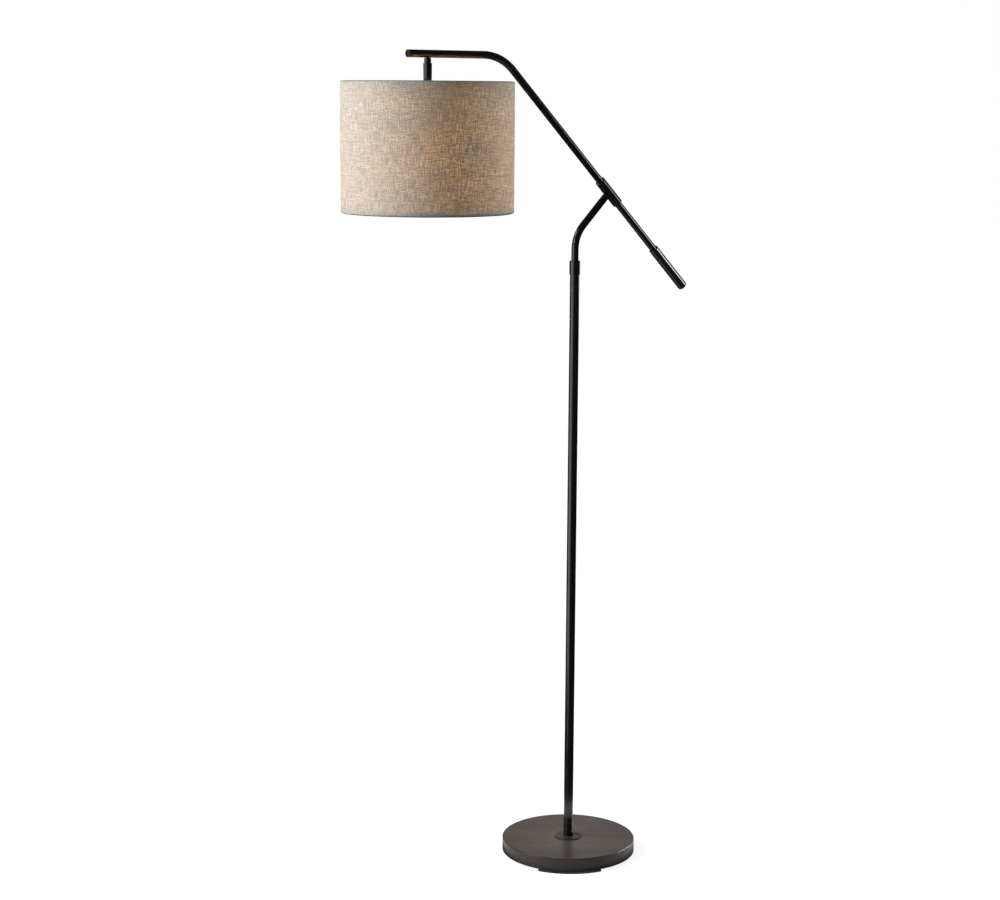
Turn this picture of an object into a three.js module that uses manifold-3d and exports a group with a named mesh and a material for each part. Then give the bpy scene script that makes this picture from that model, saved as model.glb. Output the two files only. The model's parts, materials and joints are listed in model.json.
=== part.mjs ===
// Adjustable arm floor lamp.
// Millimetres, +Z up. The origin is on the floor, under the centre of the round base.
// The arm lies in the XZ plane: the shade hangs on the -X side, the counterweight is on the +X side.
import * as THREE from 'three';
import { mergeVertices } from 'three/addons/utils/BufferGeometryUtils.js';
import Module from 'manifold-3d';

const wasm = await Module();
wasm.setup();

// ---- Driving dimensions ----

const GAP = 0.3; // clearance between pieces that touch

const BASE_RADIUS = 133;
const BASE_TOP = 31.4;
const BASE_RIM_BOTTOM = 5.4;
const SHELL_WALL = 1.6;
const SHELL_EDGE = 1.8; // radius of the rounded top edge
const WEIGHT_RADIUS = 128.5;
const WEIGHT_THICKNESS = 16;
const FOOT_INNER_RADIUS = 121;
const FOOT_HALF_ANGLE = 28; // degrees
const CORD_ANGLE = 54.8; // degrees from +X, the side where the cord would leave the base
const CORD_CHANNEL_WIDTH = 12;
const CORD_CHANNEL_DEPTH = 10;
const FOOT_INSET = 0.6; // from the rim of the shell to the foot's outer face
const FOOT_TONGUE_GAP = 3.2; // from the skirt to the tongue of a foot
const FOOT_TONGUE_BOTTOM = 2;
const GROMMET_HEIGHT = 15.4;
const GROMMET_HOLE_RADIUS = 5.3;
const GROMMET_LIP_RADIUS = 7;
const GROMMET_LIP_THICKNESS = 1.4;
const GROMMET_BORE = 3.4;
const PAD_RADIUS = 30;
const PAD_WALL = 5;
const PAD_FLOOR = 3;

const NIPPLE_RADIUS = 5;
const NIPPLE_BORE = 3.2;
const NIPPLE_TOP = 74;
const NIPPLE_END = 0.6; // how far the threaded tube stands out under its nut
const NUT_ACROSS_FLATS = 17;
const NUT_HEIGHT = 6.2;
const WASHER_RADIUS = 15;
const WASHER_THICKNESS = 1.9;

const FLANGE_RADIUS = 27;
const FLANGE_THICKNESS = 1.8;

const POLE_RADIUS = 9.25;
const POLE_WALL = 1;
const POLE_JOINT_HEIGHT = 600;
const COUPLER_HALF_LENGTH = 40;
const COUPLER_WALL = 2;
const POLE_BUSH_TOP = 64;
const COLLAR_RADIUS = 10.6;
const COLLAR_BOTTOM = 1169.4;
const COLLAR_TOP = 1196.2;
const COLLAR_LIP = 5.7; // height of the inward lip at the collar's top
const BUSH_BOTTOM = 1120;
const STEM_REST_HEIGHT = 8;
const STEM_REST_BORE = 4;

const NECK_RADIUS = 7;
const NECK_WALL = 1.3;
const NECK_CORNER_HEIGHT = 1244.7;
const NECK_BEND_RADIUS = 65;
const NECK_REACH = 114.8; // from the corner of the bend to the middle of the sleeve
const NECK_END_GAP = 15.3; // from the end of the bent tube to the middle of the sleeve
const SWIVEL_BUSH_LENGTH = 24;
const SWIVEL_BUSH_FLANGE = 1;
const SWIVEL_STEM_END = 1.2; // how far the stem stands out under its nut
const SWIVEL_STEM_RADIUS = 4; // the sleeve's hollow stem, inside the neck
const SWIVEL_NUT_HEIGHT = 4;
const SWIVEL_NUT_RADIUS = 5.3;

const ARM_RADIUS = 7.1;
const ARM_WALL = 1.3;
const ARM_RISE = 365.8; // from the middle of the sleeve to the corner of the arm's bend
const ARM_BEND_RADIUS = 94;
const ARM_REACH = 204.7; // from the corner of the bend to the end of the tube
const SHADE_REACH = 163.3; // from the corner of the bend to the axis of the shade
const SLEEVE_RADIUS = 10;
const SLEEVE_WALL = 1;
const SLEEVE_HALF_LENGTH = 32;
const SLEEVE_BOSS_RADIUS = 6.6; // the short boss between the sleeve and the neck
const SLEEVE_WIRE_BORE = 2.6;
const LINER_LENGTH = 16;
const LINER_INSET = 1.2; // from the end of the sleeve
const STUD_RADIUS = 3; // the stud that the counterweight screws onto
const STUD_LENGTH = 14;
const TAIL_PLUG_LENGTH = 20;
const END_PLUG_DEPTH = 10;
const END_PLUG_HEAD = 2.5;
const END_PLUG_EDGE = 1.2;
const TAIL_START = 161.5; // from the middle of the sleeve to the counterweight
const WEIGHT_LENGTH = 109.5;
const WEIGHT_ROD_RADIUS = 9.5;
const WEIGHT_SOCKET_DEPTH = 12;

const BALL_DROP = 14; // from the arm's centre line to the centre of the swivel
const HOUSING_RADIUS = 6.5;
const HOUSING_COLLAR_RADIUS = 6.3;
const HOUSING_CAVITY = 5;
const HOUSING_MOUTH_ANGLE = 42; // half angle of the opening under the housing
const HOUSING_STEM_RADIUS = 3.2;
const HOUSING_STEM_RISE = 3; // above the arm's centre line
const HOUSING_NUT_HEIGHT = 3;
const HOUSING_NUT_DROP = 2.5; // from the arm's centre line to the underside of the nut
const WIRE_HOLE_RADIUS = 1.6;
const BALL_STEM_RADIUS = 1.7;
const BALL_STEM_DROP = 26; // from the centre of the swivel to the lower end of the ball's stem
const BALL_BORE = 0.9;
const CUP_ANGLE = 43; // of the friction ring below the level of the swivel's centre
const SEAT_GAP = 1.2; // from the housing to the seat in the cover, with room for the friction ring
const COVER_TOP_RADIUS = 8;
const COVER_BOTTOM_RADIUS = 7.5;
const COVER_TOP_DROP = 2.5; // from the centre of the swivel to the top of the cover
const COVER_BOTTOM_DROP = 44;
const COVER_BORE = 6;
const SEAT_END_ANGLE = 68; // of the round seat in the cover, below the level of the swivel's centre
const SHELF_TOP_DROP = 14; // the shelf inside the cover, which hangs on the ball's stem
const SHELF_BOTTOM_DROP = 18;
const STEM_NUT_HEIGHT = 3.5;
const SMALL_NUT_RADIUS = 5;

const SHADE_RADIUS = 159.2;
const SHADE_BOTTOM = 1296.9;
const SHADE_TOP = 1535.6;
const FABRIC_THICKNESS = 0.8;
const LINER_THICKNESS = 0.8;
const LINER_SETBACK = 1.1; // the fabric is turned over the ends of the liner
const RING_WIRE = 2;
const SPOKE_WIRE = 1.8;
const SPOKE_COUNT = 3;
const SPOKE_ROOT_RADIUS = 11;
const HUB_RADIUS = 15;
const HUB_THICKNESS = 3;

const SOCKET_RADIUS = 17;
const SOCKET_BORE = 14.4;
const SOCKET_NIPPLE_RISE = 12; // above the spider's hub
const SOCKET_NIPPLE_DROP = 6; // below the top of the lamp holder's cap
const SOCKET_CAP_HEIGHT = 14;
const SOCKET_CAP_WALL = 1.4;
const SOCKET_CAP_ROOF = 3;
const SOCKET_CAP_SHOULDER = 6;
const SOCKET_SHELL_HEIGHT = 44;
const INSULATOR_HEIGHT = 14.7;
const BULB_RADIUS = 30;
const BULB_BASE_RADIUS = 13;
const BULB_BASE_HEIGHT = 26;
const BULB_CONTACT_RADIUS = 4;
const BULB_GLASS_HEIGHT = 82;
const KNOB_RADIUS = 4.5;
const KNOB_LENGTH = 16;
const KNOB_STEM_RADIUS = 1.8;
const KNOB_STEM_START = 7;
const KNOB_STANDOFF = 2;
const KNOB_DROP = 8; // below the top of the lamp holder's shell

const ROUND = 24; // sides of tubes and other slender round pieces
const ROUND_SMALL = 16; // sides of small pieces inside others
const ROUND_FLANGE = 40; // sides of the flange on the base
const ROUND_BASE = 60; // sides of the base
const ROUND_SHADE = 64; // sides of the shade

// ---- Materials ----

function finish(color, roughness, metalness) {
  return new THREE.MeshStandardMaterial({ color, roughness, metalness });
}

const bronze = finish(0x2a2421, 0.4, 0.6);
const baseBronze = finish(0x4a423c, 0.45, 0.5);
const castIron = finish(0x3a3a3c, 0.8, 0.5);
const zincSteel = finish(0xb0b2b4, 0.4, 0.9);
const brass = finish(0xb08d4a, 0.35, 0.9);
const rubber = finish(0x1b1b1b, 0.85, 0);
const nylon = finish(0xe6e4dc, 0.55, 0);
const blackNylon = finish(0x161616, 0.55, 0);
const phenolic = finish(0x151515, 0.5, 0);
const frostedGlass = finish(0xfff3dc, 0.3, 0);
const styrene = finish(0xf2eee4, 0.6, 0);
const linen = finish(0xb3a798, 0.95, 0);

// ---- Geometry helpers ----

const radians = THREE.MathUtils.degToRad;

// A round solid about Z. The profile is a list of [radius, height] points.
function turned(profile, sides = ROUND) {
  const points = profile.map(([radius, height]) => new THREE.Vector2(radius, height));
  return new THREE.LatheGeometry(points, sides).rotateX(Math.PI / 2);
}

// A ring about Z, whose profile closes on itself.
function ring(profile, sides = ROUND) {
  return turned([...profile, profile[0]], sides);
}

// A plain ring with a chamfer on its two outer edges.
function plainRing(inner, outer, low, high, chamfer = 0, sides = ROUND) {
  if (chamfer === 0) {
    return ring([[inner, low], [outer, low], [outer, high], [inner, high]], sides);
  }
  return ring([
    [inner, low], [outer - chamfer, low], [outer, low + chamfer],
    [outer, high - chamfer], [outer - chamfer, high], [inner, high],
  ], sides);
}

// Points of an arc in a profile, angles in degrees from the +radius direction towards +height.
function arc(centreRadius, centreHeight, radius, from, to, steps) {
  return Array.from({ length: steps + 1 }, (_, i) => {
    const angle = radians(from + (to - from) * i / steps);
    return [centreRadius + radius * Math.cos(angle), centreHeight + radius * Math.sin(angle)];
  });
}

// A path that is straight except for one round bend, with stations only where they are needed.
class BentPath extends THREE.Curve {
  constructor(start, corner, end, bendRadius, bendSteps) {
    super();
    const inward = corner.clone().sub(start).normalize();
    const outward = end.clone().sub(corner).normalize();
    const turn = inward.angleTo(outward);
    const tangentLength = bendRadius * Math.tan(turn / 2);
    const side = outward.clone().addScaledVector(inward, -outward.dot(inward)).normalize();
    const bendStart = corner.clone().addScaledVector(inward, -tangentLength);
    this.stations = [{ point: start, tangent: inward }];
    for (let i = 0; i <= bendSteps; i++) {
      const angle = turn * i / bendSteps;
      const point = bendStart.clone()
        .addScaledVector(inward, bendRadius * Math.sin(angle))
        .addScaledVector(side, bendRadius * (1 - Math.cos(angle)));
      const tangent = inward.clone().multiplyScalar(Math.cos(angle)).addScaledVector(side, Math.sin(angle));
      this.stations.push({ point, tangent });
    }
    this.stations.push({ point: end, tangent: outward });
  }

  get steps() {
    return this.stations.length - 1;
  }

  getUtoTmapping(u) {
    return u;
  }

  getPoint(t) {
    return this.stations[Math.round(t * this.steps)].point.clone();
  }

  getTangent(t) {
    return this.stations[Math.round(t * this.steps)].tangent.clone();
  }
}

// A hollow tube along a bent path.
function bentTube(path, radius, wall, sides = ROUND) {
  const section = new THREE.Shape().absarc(0, 0, radius, 0, 2 * Math.PI, false);
  section.holes.push(new THREE.Path().absarc(0, 0, radius - wall, 0, 2 * Math.PI, true));
  return new THREE.ExtrudeGeometry(section, {
    extrudePath: path, steps: path.steps, curveSegments: sides / 2, bevelEnabled: false,
  });
}

// A straight round rod between two points.
function rod(start, end, radius, sides = 12) {
  const along = end.clone().sub(start);
  const geometry = new THREE.CylinderGeometry(radius, radius, along.length(), sides);
  const turn = new THREE.Quaternion().setFromUnitVectors(new THREE.Vector3(0, 1, 0), along.normalize());
  const middle = start.clone().add(end).multiplyScalar(0.5);
  return geometry.applyQuaternion(turn).translate(middle.x, middle.y, middle.z);
}

// A slice of a flat ring, from -halfAngle to +halfAngle about +X, between two heights.
function ringSlice(inner, outer, halfAngle, low, high) {
  const half = radians(halfAngle);
  const slice = new THREE.Shape();
  slice.absarc(0, 0, outer, -half, half, false);
  slice.absarc(0, 0, inner, half, -half, true);
  slice.closePath();
  const settings = { depth: high - low, curveSegments: 8, bevelEnabled: false };
  return new THREE.ExtrudeGeometry(slice, settings).translate(0, 0, low);
}

function block(width, depth, height, x, y, z) {
  return new THREE.BoxGeometry(width, depth, height).translate(x, y, z);
}

// The same geometry as a solid that can be joined and cut.
function solid(geometry) {
  const bare = geometry.clone();
  bare.deleteAttribute('normal');
  bare.deleteAttribute('uv');
  const merged = mergeVertices(bare, 1e-4);
  const corners = [];
  for (let i = 0; i < merged.index.count; i += 3) {
    const [a, b, c] = [0, 1, 2].map((k) => merged.index.getX(i + k));
    if (a !== b && b !== c && c !== a) {
      corners.push(a, b, c);
    }
  }
  const vertProperties = new Float32Array(merged.attributes.position.array);
  const triVerts = new Uint32Array(corners);
  return new wasm.Manifold(new wasm.Mesh({ numProp: 3, vertProperties, triVerts }));
}

function fromSolid(body) {
  const mesh = body.getMesh();
  const geometry = new THREE.BufferGeometry();
  geometry.setAttribute('position', new THREE.BufferAttribute(mesh.vertProperties, 3));
  geometry.setIndex(new THREE.BufferAttribute(mesh.triVerts, 1));
  geometry.computeVertexNormals();
  return geometry;
}

function join(...parts) {
  return fromSolid(parts.map(solid).reduce((all, next) => all.add(next)));
}

function cut(body, ...tools) {
  return fromSolid(tools.map(solid).reduce((rest, tool) => rest.subtract(tool), solid(body)));
}

const lamp = new THREE.Group();

function place(name, geometry, material, parent = lamp) {
  const mesh = new THREE.Mesh(geometry, material);
  mesh.name = name;
  parent.add(mesh);
  return mesh;
}

// ---- Base ----

const shellTopInside = BASE_TOP - SHELL_WALL;
const weightTop = shellTopInside - GAP;
const weightBottom = weightTop - WEIGHT_THICKNESS;
const skirtInside = BASE_RADIUS - SHELL_WALL;
const nippleHole = NIPPLE_RADIUS + GAP;

// Everything in this group lines up with the side where the cord leaves the base.
const cordSide = new THREE.Group();
cordSide.rotation.z = radians(CORD_ANGLE);
lamp.add(cordSide);

function makeBaseShell() {
  const edge = arc(BASE_RADIUS - SHELL_EDGE, BASE_TOP - SHELL_EDGE, SHELL_EDGE, 0, 90, 4);
  const shell = ring([
    [skirtInside, BASE_RIM_BOTTOM], [BASE_RADIUS, BASE_RIM_BOTTOM], ...edge,
    [nippleHole, BASE_TOP], [nippleHole, shellTopInside], [skirtInside, shellTopInside],
  ], ROUND_BASE);
  const inside = new THREE.Vector3(skirtInside - SHELL_WALL, 0, GROMMET_HEIGHT);
  const outside = new THREE.Vector3(BASE_RADIUS + SHELL_WALL, 0, GROMMET_HEIGHT);
  return cut(shell, rod(inside, outside, GROMMET_HOLE_RADIUS));
}

function makeBaseWeight() {
  const disc = plainRing(nippleHole, WEIGHT_RADIUS, weightBottom, weightTop, 0, ROUND_BASE);
  const inner = PAD_RADIUS - 2 * PAD_WALL;
  const length = BASE_RADIUS - inner;
  const channel = block(
    length, CORD_CHANNEL_WIDTH, 2 * CORD_CHANNEL_DEPTH, inner + length / 2, 0, weightBottom,
  );
  return cut(disc, channel);
}

// A moulded rubber arc: a tread under the rim of the shell and a tongue glued under the weight.
function makeRimFoot() {
  const treadOutside = BASE_RADIUS - FOOT_INSET;
  const tongueOutside = skirtInside - FOOT_TONGUE_GAP;
  const tread = ringSlice(FOOT_INNER_RADIUS, treadOutside, FOOT_HALF_ANGLE, 0, BASE_RIM_BOTTOM - GAP);
  const tongue = ringSlice(
    FOOT_INNER_RADIUS, tongueOutside, FOOT_HALF_ANGLE, FOOT_TONGUE_BOTTOM, weightBottom - GAP,
  );
  return join(tread, tongue);
}

// A rubber cup that covers the clamping nut, with a slot for the cord.
function makeNutCoverPad() {
  const high = weightBottom - GAP;
  const inside = PAD_RADIUS - PAD_WALL;
  const cup = turned([
    [0, 0], [PAD_RADIUS, 0], [PAD_RADIUS, high], [inside, high], [inside, PAD_FLOOR], [0, PAD_FLOOR],
  ]);
  const slot = block(3 * PAD_WALL, CORD_CHANNEL_WIDTH, high, PAD_RADIUS, 0, PAD_FLOOR + high / 2);
  return cut(cup, slot);
}

// A rubber grommet about the X axis, snapped into the hole in the skirt.
function makeCordGrommet() {
  const lip = GROMMET_LIP_RADIUS;
  const bore = GROMMET_BORE;
  const waist = GROMMET_HOLE_RADIUS - GAP;
  const inner = skirtInside - 2 * GAP;
  const outer = BASE_RADIUS + GAP;
  const innerFace = inner - GROMMET_LIP_THICKNESS;
  const outerFace = outer + GROMMET_LIP_THICKNESS;
  const profile = [
    [bore, innerFace], [lip, innerFace], [lip, inner], [waist, inner],
    [waist, outer], [lip, outer], [lip - GROMMET_LIP_THICKNESS / 2, outerFace], [bore, outerFace],
  ];
  return ring(profile, ROUND_SMALL).rotateY(Math.PI / 2).translate(0, 0, GROMMET_HEIGHT);
}

function makeHexNut(low, high, hole) {
  const corner = NUT_ACROSS_FLATS / Math.sqrt(3);
  const hexagon = new THREE.CylinderGeometry(corner, corner, high - low, 6).rotateX(Math.PI / 2);
  hexagon.translate(0, 0, (low + high) / 2);
  const bore = new THREE.CylinderGeometry(hole, hole, 2 * (high - low), ROUND_SMALL).rotateX(Math.PI / 2);
  bore.translate(0, 0, (low + high) / 2);
  return cut(hexagon, bore);
}

place('base_shell', makeBaseShell(), baseBronze, cordSide);
place('base_weight', makeBaseWeight(), castIron, cordSide);
[180, 60, -60].forEach((angle, i) => {
  place(`rim_foot_${i + 1}`, makeRimFoot(), rubber, cordSide).rotation.z = radians(angle);
});
place('nut_cover_pad', makeNutCoverPad(), rubber, cordSide);
place('cord_grommet', makeCordGrommet(), rubber, cordSide);

const washerTop = weightBottom - GAP;
const washerBottom = washerTop - WASHER_THICKNESS;
const nutTop = washerBottom - GAP;
const nutBottom = nutTop - NUT_HEIGHT;
place('base_washer', plainRing(
  nippleHole, WASHER_RADIUS, washerBottom, washerTop, 0, ROUND_SMALL,
), zincSteel);
place('base_nut', makeHexNut(nutBottom, nutTop, nippleHole), zincSteel);
place('base_nipple', plainRing(
  NIPPLE_BORE, NIPPLE_RADIUS, nutBottom - NIPPLE_END, NIPPLE_TOP, 0, ROUND_SMALL,
), zincSteel);

const flangeBottom = BASE_TOP + GAP;
const flangeTop = flangeBottom + FLANGE_THICKNESS;
place('base_flange', plainRing(
  nippleHole, FLANGE_RADIUS, flangeBottom, flangeTop, 0, ROUND_FLANGE,
), baseBronze);

// ---- Pole ----

const poleBottom = flangeTop + GAP;
const poleTop = COLLAR_TOP - COLLAR_LIP - GAP;
const poleInside = POLE_RADIUS - POLE_WALL;
const insert = poleInside - GAP; // radius of the pieces that fit inside the pole

place('pole_bush', plainRing(nippleHole, insert, poleBottom, POLE_BUSH_TOP, 0, ROUND_SMALL), zincSteel);
const lowerTop = POLE_JOINT_HEIGHT - GAP / 2;
place('pole_lower', plainRing(poleInside, POLE_RADIUS, poleBottom, lowerTop), bronze);
const upperBottom = POLE_JOINT_HEIGHT + GAP / 2;
place('pole_upper', plainRing(poleInside, POLE_RADIUS, upperBottom, poleTop), bronze);
const couplerBottom = POLE_JOINT_HEIGHT - COUPLER_HALF_LENGTH;
const couplerTop = POLE_JOINT_HEIGHT + COUPLER_HALF_LENGTH;
place('pole_coupler', plainRing(insert - COUPLER_WALL, insert, couplerBottom, couplerTop), zincSteel);

// A ferrule over the end of the pole, whose lip closes in on the neck.
function makeCollar() {
  const overPole = POLE_RADIUS + GAP;
  const aroundNeck = NECK_RADIUS + GAP;
  const lipBottom = COLLAR_TOP - COLLAR_LIP;
  const edge = 0.6;
  return ring([
    [overPole, COLLAR_BOTTOM], [COLLAR_RADIUS - edge, COLLAR_BOTTOM], [COLLAR_RADIUS, COLLAR_BOTTOM + edge],
    [COLLAR_RADIUS, COLLAR_TOP - edge], [COLLAR_RADIUS - edge, COLLAR_TOP], [aroundNeck, COLLAR_TOP],
    [aroundNeck, lipBottom], [overPole, lipBottom],
  ]);
}

place('pole_collar', makeCollar(), bronze);
place('collar_bush', plainRing(NECK_RADIUS + GAP, insert, BUSH_BOTTOM, poleTop - GAP), nylon);
const restTop = BUSH_BOTTOM - GAP;
place('stem_rest', plainRing(STEM_REST_BORE, insert, restTop - STEM_REST_HEIGHT, restTop), zincSteel);

// ---- Neck: the bent tube that turns in the collar ----

const up = new THREE.Vector3(0, 0, 1);
const swivelDirection = new THREE.Vector3(1, 0, 1).normalize(); // from the bend up to the sleeve
const armDirection = new THREE.Vector3(-1, 0, 1).normalize(); // along the arm, up to its bend
const reachDirection = new THREE.Vector3(-1, 0, 0); // along the end of the arm, to the shade

const neckStart = up.clone().multiplyScalar(BUSH_BOTTOM);
const neckCorner = up.clone().multiplyScalar(NECK_CORNER_HEIGHT);
const neckEnd = neckCorner.clone().addScaledVector(swivelDirection, NECK_REACH - NECK_END_GAP);
const sleeveCentre = neckCorner.clone().addScaledVector(swivelDirection, NECK_REACH);

// Local Z runs along the swivel axis, with the origin in the middle of the sleeve.
const swivel = new THREE.Group();
swivel.position.copy(sleeveCentre);
swivel.quaternion.setFromUnitVectors(up, swivelDirection);
lamp.add(swivel);

// Local Z runs up along the arm, with the origin in the middle of the sleeve.
const armLine = new THREE.Group();
armLine.position.copy(sleeveCentre);
armLine.quaternion.setFromUnitVectors(up, armDirection);
lamp.add(armLine);

const neckPath = new BentPath(neckStart, neckCorner, neckEnd, NECK_BEND_RADIUS, 5);
place('bent_tube', bentTube(neckPath, NECK_RADIUS, NECK_WALL), bronze);

const bushBottom = -(NECK_END_GAP + SWIVEL_BUSH_LENGTH);
const bushFlangeBottom = -(NECK_END_GAP - GAP);
const bushFlangeTop = bushFlangeBottom + SWIVEL_BUSH_FLANGE;

function makeSwivelBush() {
  const inner = SWIVEL_STEM_RADIUS + GAP;
  const outer = NECK_RADIUS - NECK_WALL - GAP;
  return ring([
    [inner, bushBottom], [outer, bushBottom], [outer, bushFlangeBottom],
    [NECK_RADIUS, bushFlangeBottom], [NECK_RADIUS, bushFlangeTop], [inner, bushFlangeTop],
  ]);
}

place('swivel_bush', makeSwivelBush(), blackNylon, swivel);

// ---- Sleeve: swivels on the neck and guides the arm ----

const sleeveInside = SLEEVE_RADIUS - SLEEVE_WALL;
const swivelNutTop = bushBottom - GAP;
const swivelNutBottom = swivelNutTop - SWIVEL_NUT_HEIGHT;
const stemEnd = swivelNutBottom - SWIVEL_STEM_END;

// The sleeve lies along local X of the swivel group, its hollow stem along local Z.
function makeSleeve() {
  const half = SLEEVE_HALF_LENGTH;
  const upperEdge = 0.8;
  const lowerEdge = 2.4;
  const outline = turned([
    [0, -half], [SLEEVE_RADIUS - lowerEdge, -half],
    ...arc(SLEEVE_RADIUS - lowerEdge, lowerEdge - half, lowerEdge, -60, 0, 3),
    [SLEEVE_RADIUS, half - upperEdge], [SLEEVE_RADIUS - upperEdge, half], [0, half],
  ]).rotateY(-Math.PI / 2);
  const bossBottom = bushFlangeTop + GAP;
  const bossTop = -SLEEVE_RADIUS / 2;
  const stem = turned([
    [0, stemEnd], [SWIVEL_STEM_RADIUS, stemEnd], [SWIVEL_STEM_RADIUS, bossBottom],
    [SLEEVE_BOSS_RADIUS, bossBottom], [SLEEVE_BOSS_RADIUS, bossTop], [0, bossTop],
  ]);
  const armBore = new THREE.CylinderGeometry(sleeveInside, sleeveInside, 4 * half, ROUND);
  armBore.rotateZ(Math.PI / 2);
  const wireBore = rod(new THREE.Vector3(0, 0, 2 * stemEnd), new THREE.Vector3(0, 0, 0), SLEEVE_WIRE_BORE);
  return fromSolid(solid(outline).add(solid(stem)).subtract(solid(armBore)).subtract(solid(wireBore)));
}

place('arm_sleeve', makeSleeve(), bronze, swivel);
place('swivel_nut', plainRing(
  SWIVEL_STEM_RADIUS + GAP, SWIVEL_NUT_RADIUS, swivelNutBottom, swivelNutTop, 0, ROUND_SMALL,
), zincSteel, swivel);

const linerEnd = SLEEVE_HALF_LENGTH - LINER_INSET;
const linerStart = linerEnd - LINER_LENGTH;
const linerRadius = sleeveInside - GAP;
const armHole = ARM_RADIUS + GAP;
place('sleeve_liner_upper', plainRing(armHole, linerRadius, linerStart, linerEnd), nylon, armLine);
place('sleeve_liner_lower', plainRing(armHole, linerRadius, -linerEnd, -linerStart), nylon, armLine);

// ---- Arm: slides in the sleeve ----

const armInside = ARM_RADIUS - ARM_WALL;
const tubeTail = TAIL_START + WEIGHT_SOCKET_DEPTH - GAP; // from the sleeve to the tube's lower end
const armStart = sleeveCentre.clone().addScaledVector(armDirection, -tubeTail);
const armCorner = sleeveCentre.clone().addScaledVector(armDirection, ARM_RISE);
const armEnd = armCorner.clone().addScaledVector(reachDirection, ARM_REACH);
const hangPoint = armCorner.clone().addScaledVector(reachDirection, SHADE_REACH);

const armPath = new BentPath(armStart, armCorner, armEnd, ARM_BEND_RADIUS, 8);
const housingHole = rod(
  hangPoint.clone().addScaledVector(up, -2 * ARM_RADIUS), hangPoint, HOUSING_STEM_RADIUS + GAP, 12,
);
place('arm_tube', cut(bentTube(armPath, ARM_RADIUS, ARM_WALL), housingHole), bronze);

// A plug with a low domed head and a shallow ring around its centre, turned about the arm's end.
function makeArmEndPlug() {
  const spigot = armInside - GAP;
  const head = END_PLUG_HEAD;
  const edge = END_PLUG_EDGE;
  const ringOutside = 0.62 * ARM_RADIUS;
  const ringInside = 0.48 * ARM_RADIUS;
  const ringDepth = 0.5;
  return turned([
    [0, -END_PLUG_DEPTH], [spigot, -END_PLUG_DEPTH], [spigot, 0],
    [ARM_RADIUS, 0], [ARM_RADIUS, head - edge],
    ...arc(ARM_RADIUS - edge, head - edge, edge, 30, 90, 2),
    [ringOutside, head], [ringOutside, head - ringDepth], [ringInside, head - ringDepth], [ringInside, head],
    [0, head],
  ]);
}

const endPlug = place('arm_end_plug', makeArmEndPlug(), bronze);
endPlug.position.copy(armEnd).addScaledVector(reachDirection, GAP);
endPlug.quaternion.setFromUnitVectors(up, reachDirection);

// The counterweight screws onto a stud that stands out of the plug in the arm's lower end.
const weightStart = -TAIL_START;
const socketEnd = weightStart - WEIGHT_SOCKET_DEPTH;
place('tail_plug', turned([
  [0, socketEnd - STUD_LENGTH], [STUD_RADIUS, socketEnd - STUD_LENGTH], [STUD_RADIUS, socketEnd + GAP],
  [armInside - GAP, socketEnd + GAP], [armInside - GAP, socketEnd + TAIL_PLUG_LENGTH],
  [0, socketEnd + TAIL_PLUG_LENGTH],
], ROUND_SMALL), zincSteel, armLine);

function makeCounterweight() {
  const end = weightStart - WEIGHT_LENGTH;
  const studHole = STUD_RADIUS + GAP;
  const holeEnd = socketEnd - STUD_LENGTH - GAP;
  const endEdge = 1.2;
  const startEdge = 0.6;
  return turned([
    [0, end], [WEIGHT_ROD_RADIUS - endEdge, end],
    ...arc(WEIGHT_ROD_RADIUS - endEdge, end + endEdge, endEdge, -60, 0, 2),
    [WEIGHT_ROD_RADIUS, weightStart - startEdge], [WEIGHT_ROD_RADIUS - startEdge, weightStart],
    [armHole, weightStart], [armHole, socketEnd], [studHole, socketEnd], [studHole, holeEnd], [0, holeEnd],
  ]);
}

place('counterweight', makeCounterweight(), bronze, armLine);

// ---- Swivel under the arm ----

// Local heights in this group are measured from the centre of the swivel's ball.
const swivelCentre = hangPoint.clone().addScaledVector(up, -BALL_DROP);
const head = new THREE.Group();
head.position.copy(swivelCentre);
lamp.add(head);

const housingTop = BALL_DROP - ARM_RADIUS - GAP;

// A barrel with a round underside. It is hollow, and the ball hangs through its open mouth.
function makeBallHousing() {
  const shoulderAngle = Math.acos(HOUSING_COLLAR_RADIUS / HOUSING_RADIUS) * 180 / Math.PI;
  const mouth = HOUSING_MOUTH_ANGLE - 90;
  const roof = 90 - Math.asin(WIRE_HOLE_RADIUS / HOUSING_CAVITY) * 180 / Math.PI;
  const stemTop = BALL_DROP + HOUSING_STEM_RISE;
  const edge = 0.5;
  return ring([
    ...arc(0, 0, HOUSING_RADIUS, mouth, shoulderAngle, 5),
    [HOUSING_COLLAR_RADIUS, housingTop - edge], [HOUSING_COLLAR_RADIUS - edge, housingTop],
    [HOUSING_STEM_RADIUS, housingTop], [HOUSING_STEM_RADIUS, stemTop], [WIRE_HOLE_RADIUS, stemTop],
    ...arc(0, 0, HOUSING_CAVITY, roof, mouth, 6),
  ]);
}

place('ball_housing', makeBallHousing(), bronze, head);
const housingNutBottom = BALL_DROP - HOUSING_NUT_DROP;
place('housing_nut', plainRing(
  HOUSING_STEM_RADIUS + GAP, SMALL_NUT_RADIUS,
  housingNutBottom, housingNutBottom + HOUSING_NUT_HEIGHT, 0, ROUND_SMALL,
), zincSteel, head);

const cavity = HOUSING_RADIUS + SEAT_GAP; // radius of the round seat in the cover

// A thin friction ring between the housing and the seat in the cover.
function makeBallCup() {
  const inner = HOUSING_RADIUS + GAP;
  const outer = cavity - GAP;
  const low = -CUP_ANGLE - 3.5;
  const high = -CUP_ANGLE + 3.5;
  return ring([...arc(0, 0, outer, low, high, 1), ...arc(0, 0, inner, high, low, 1)]);
}

place('ball_cup', makeBallCup(), nylon, head);

const stemBottom = -BALL_STEM_DROP;

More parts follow.
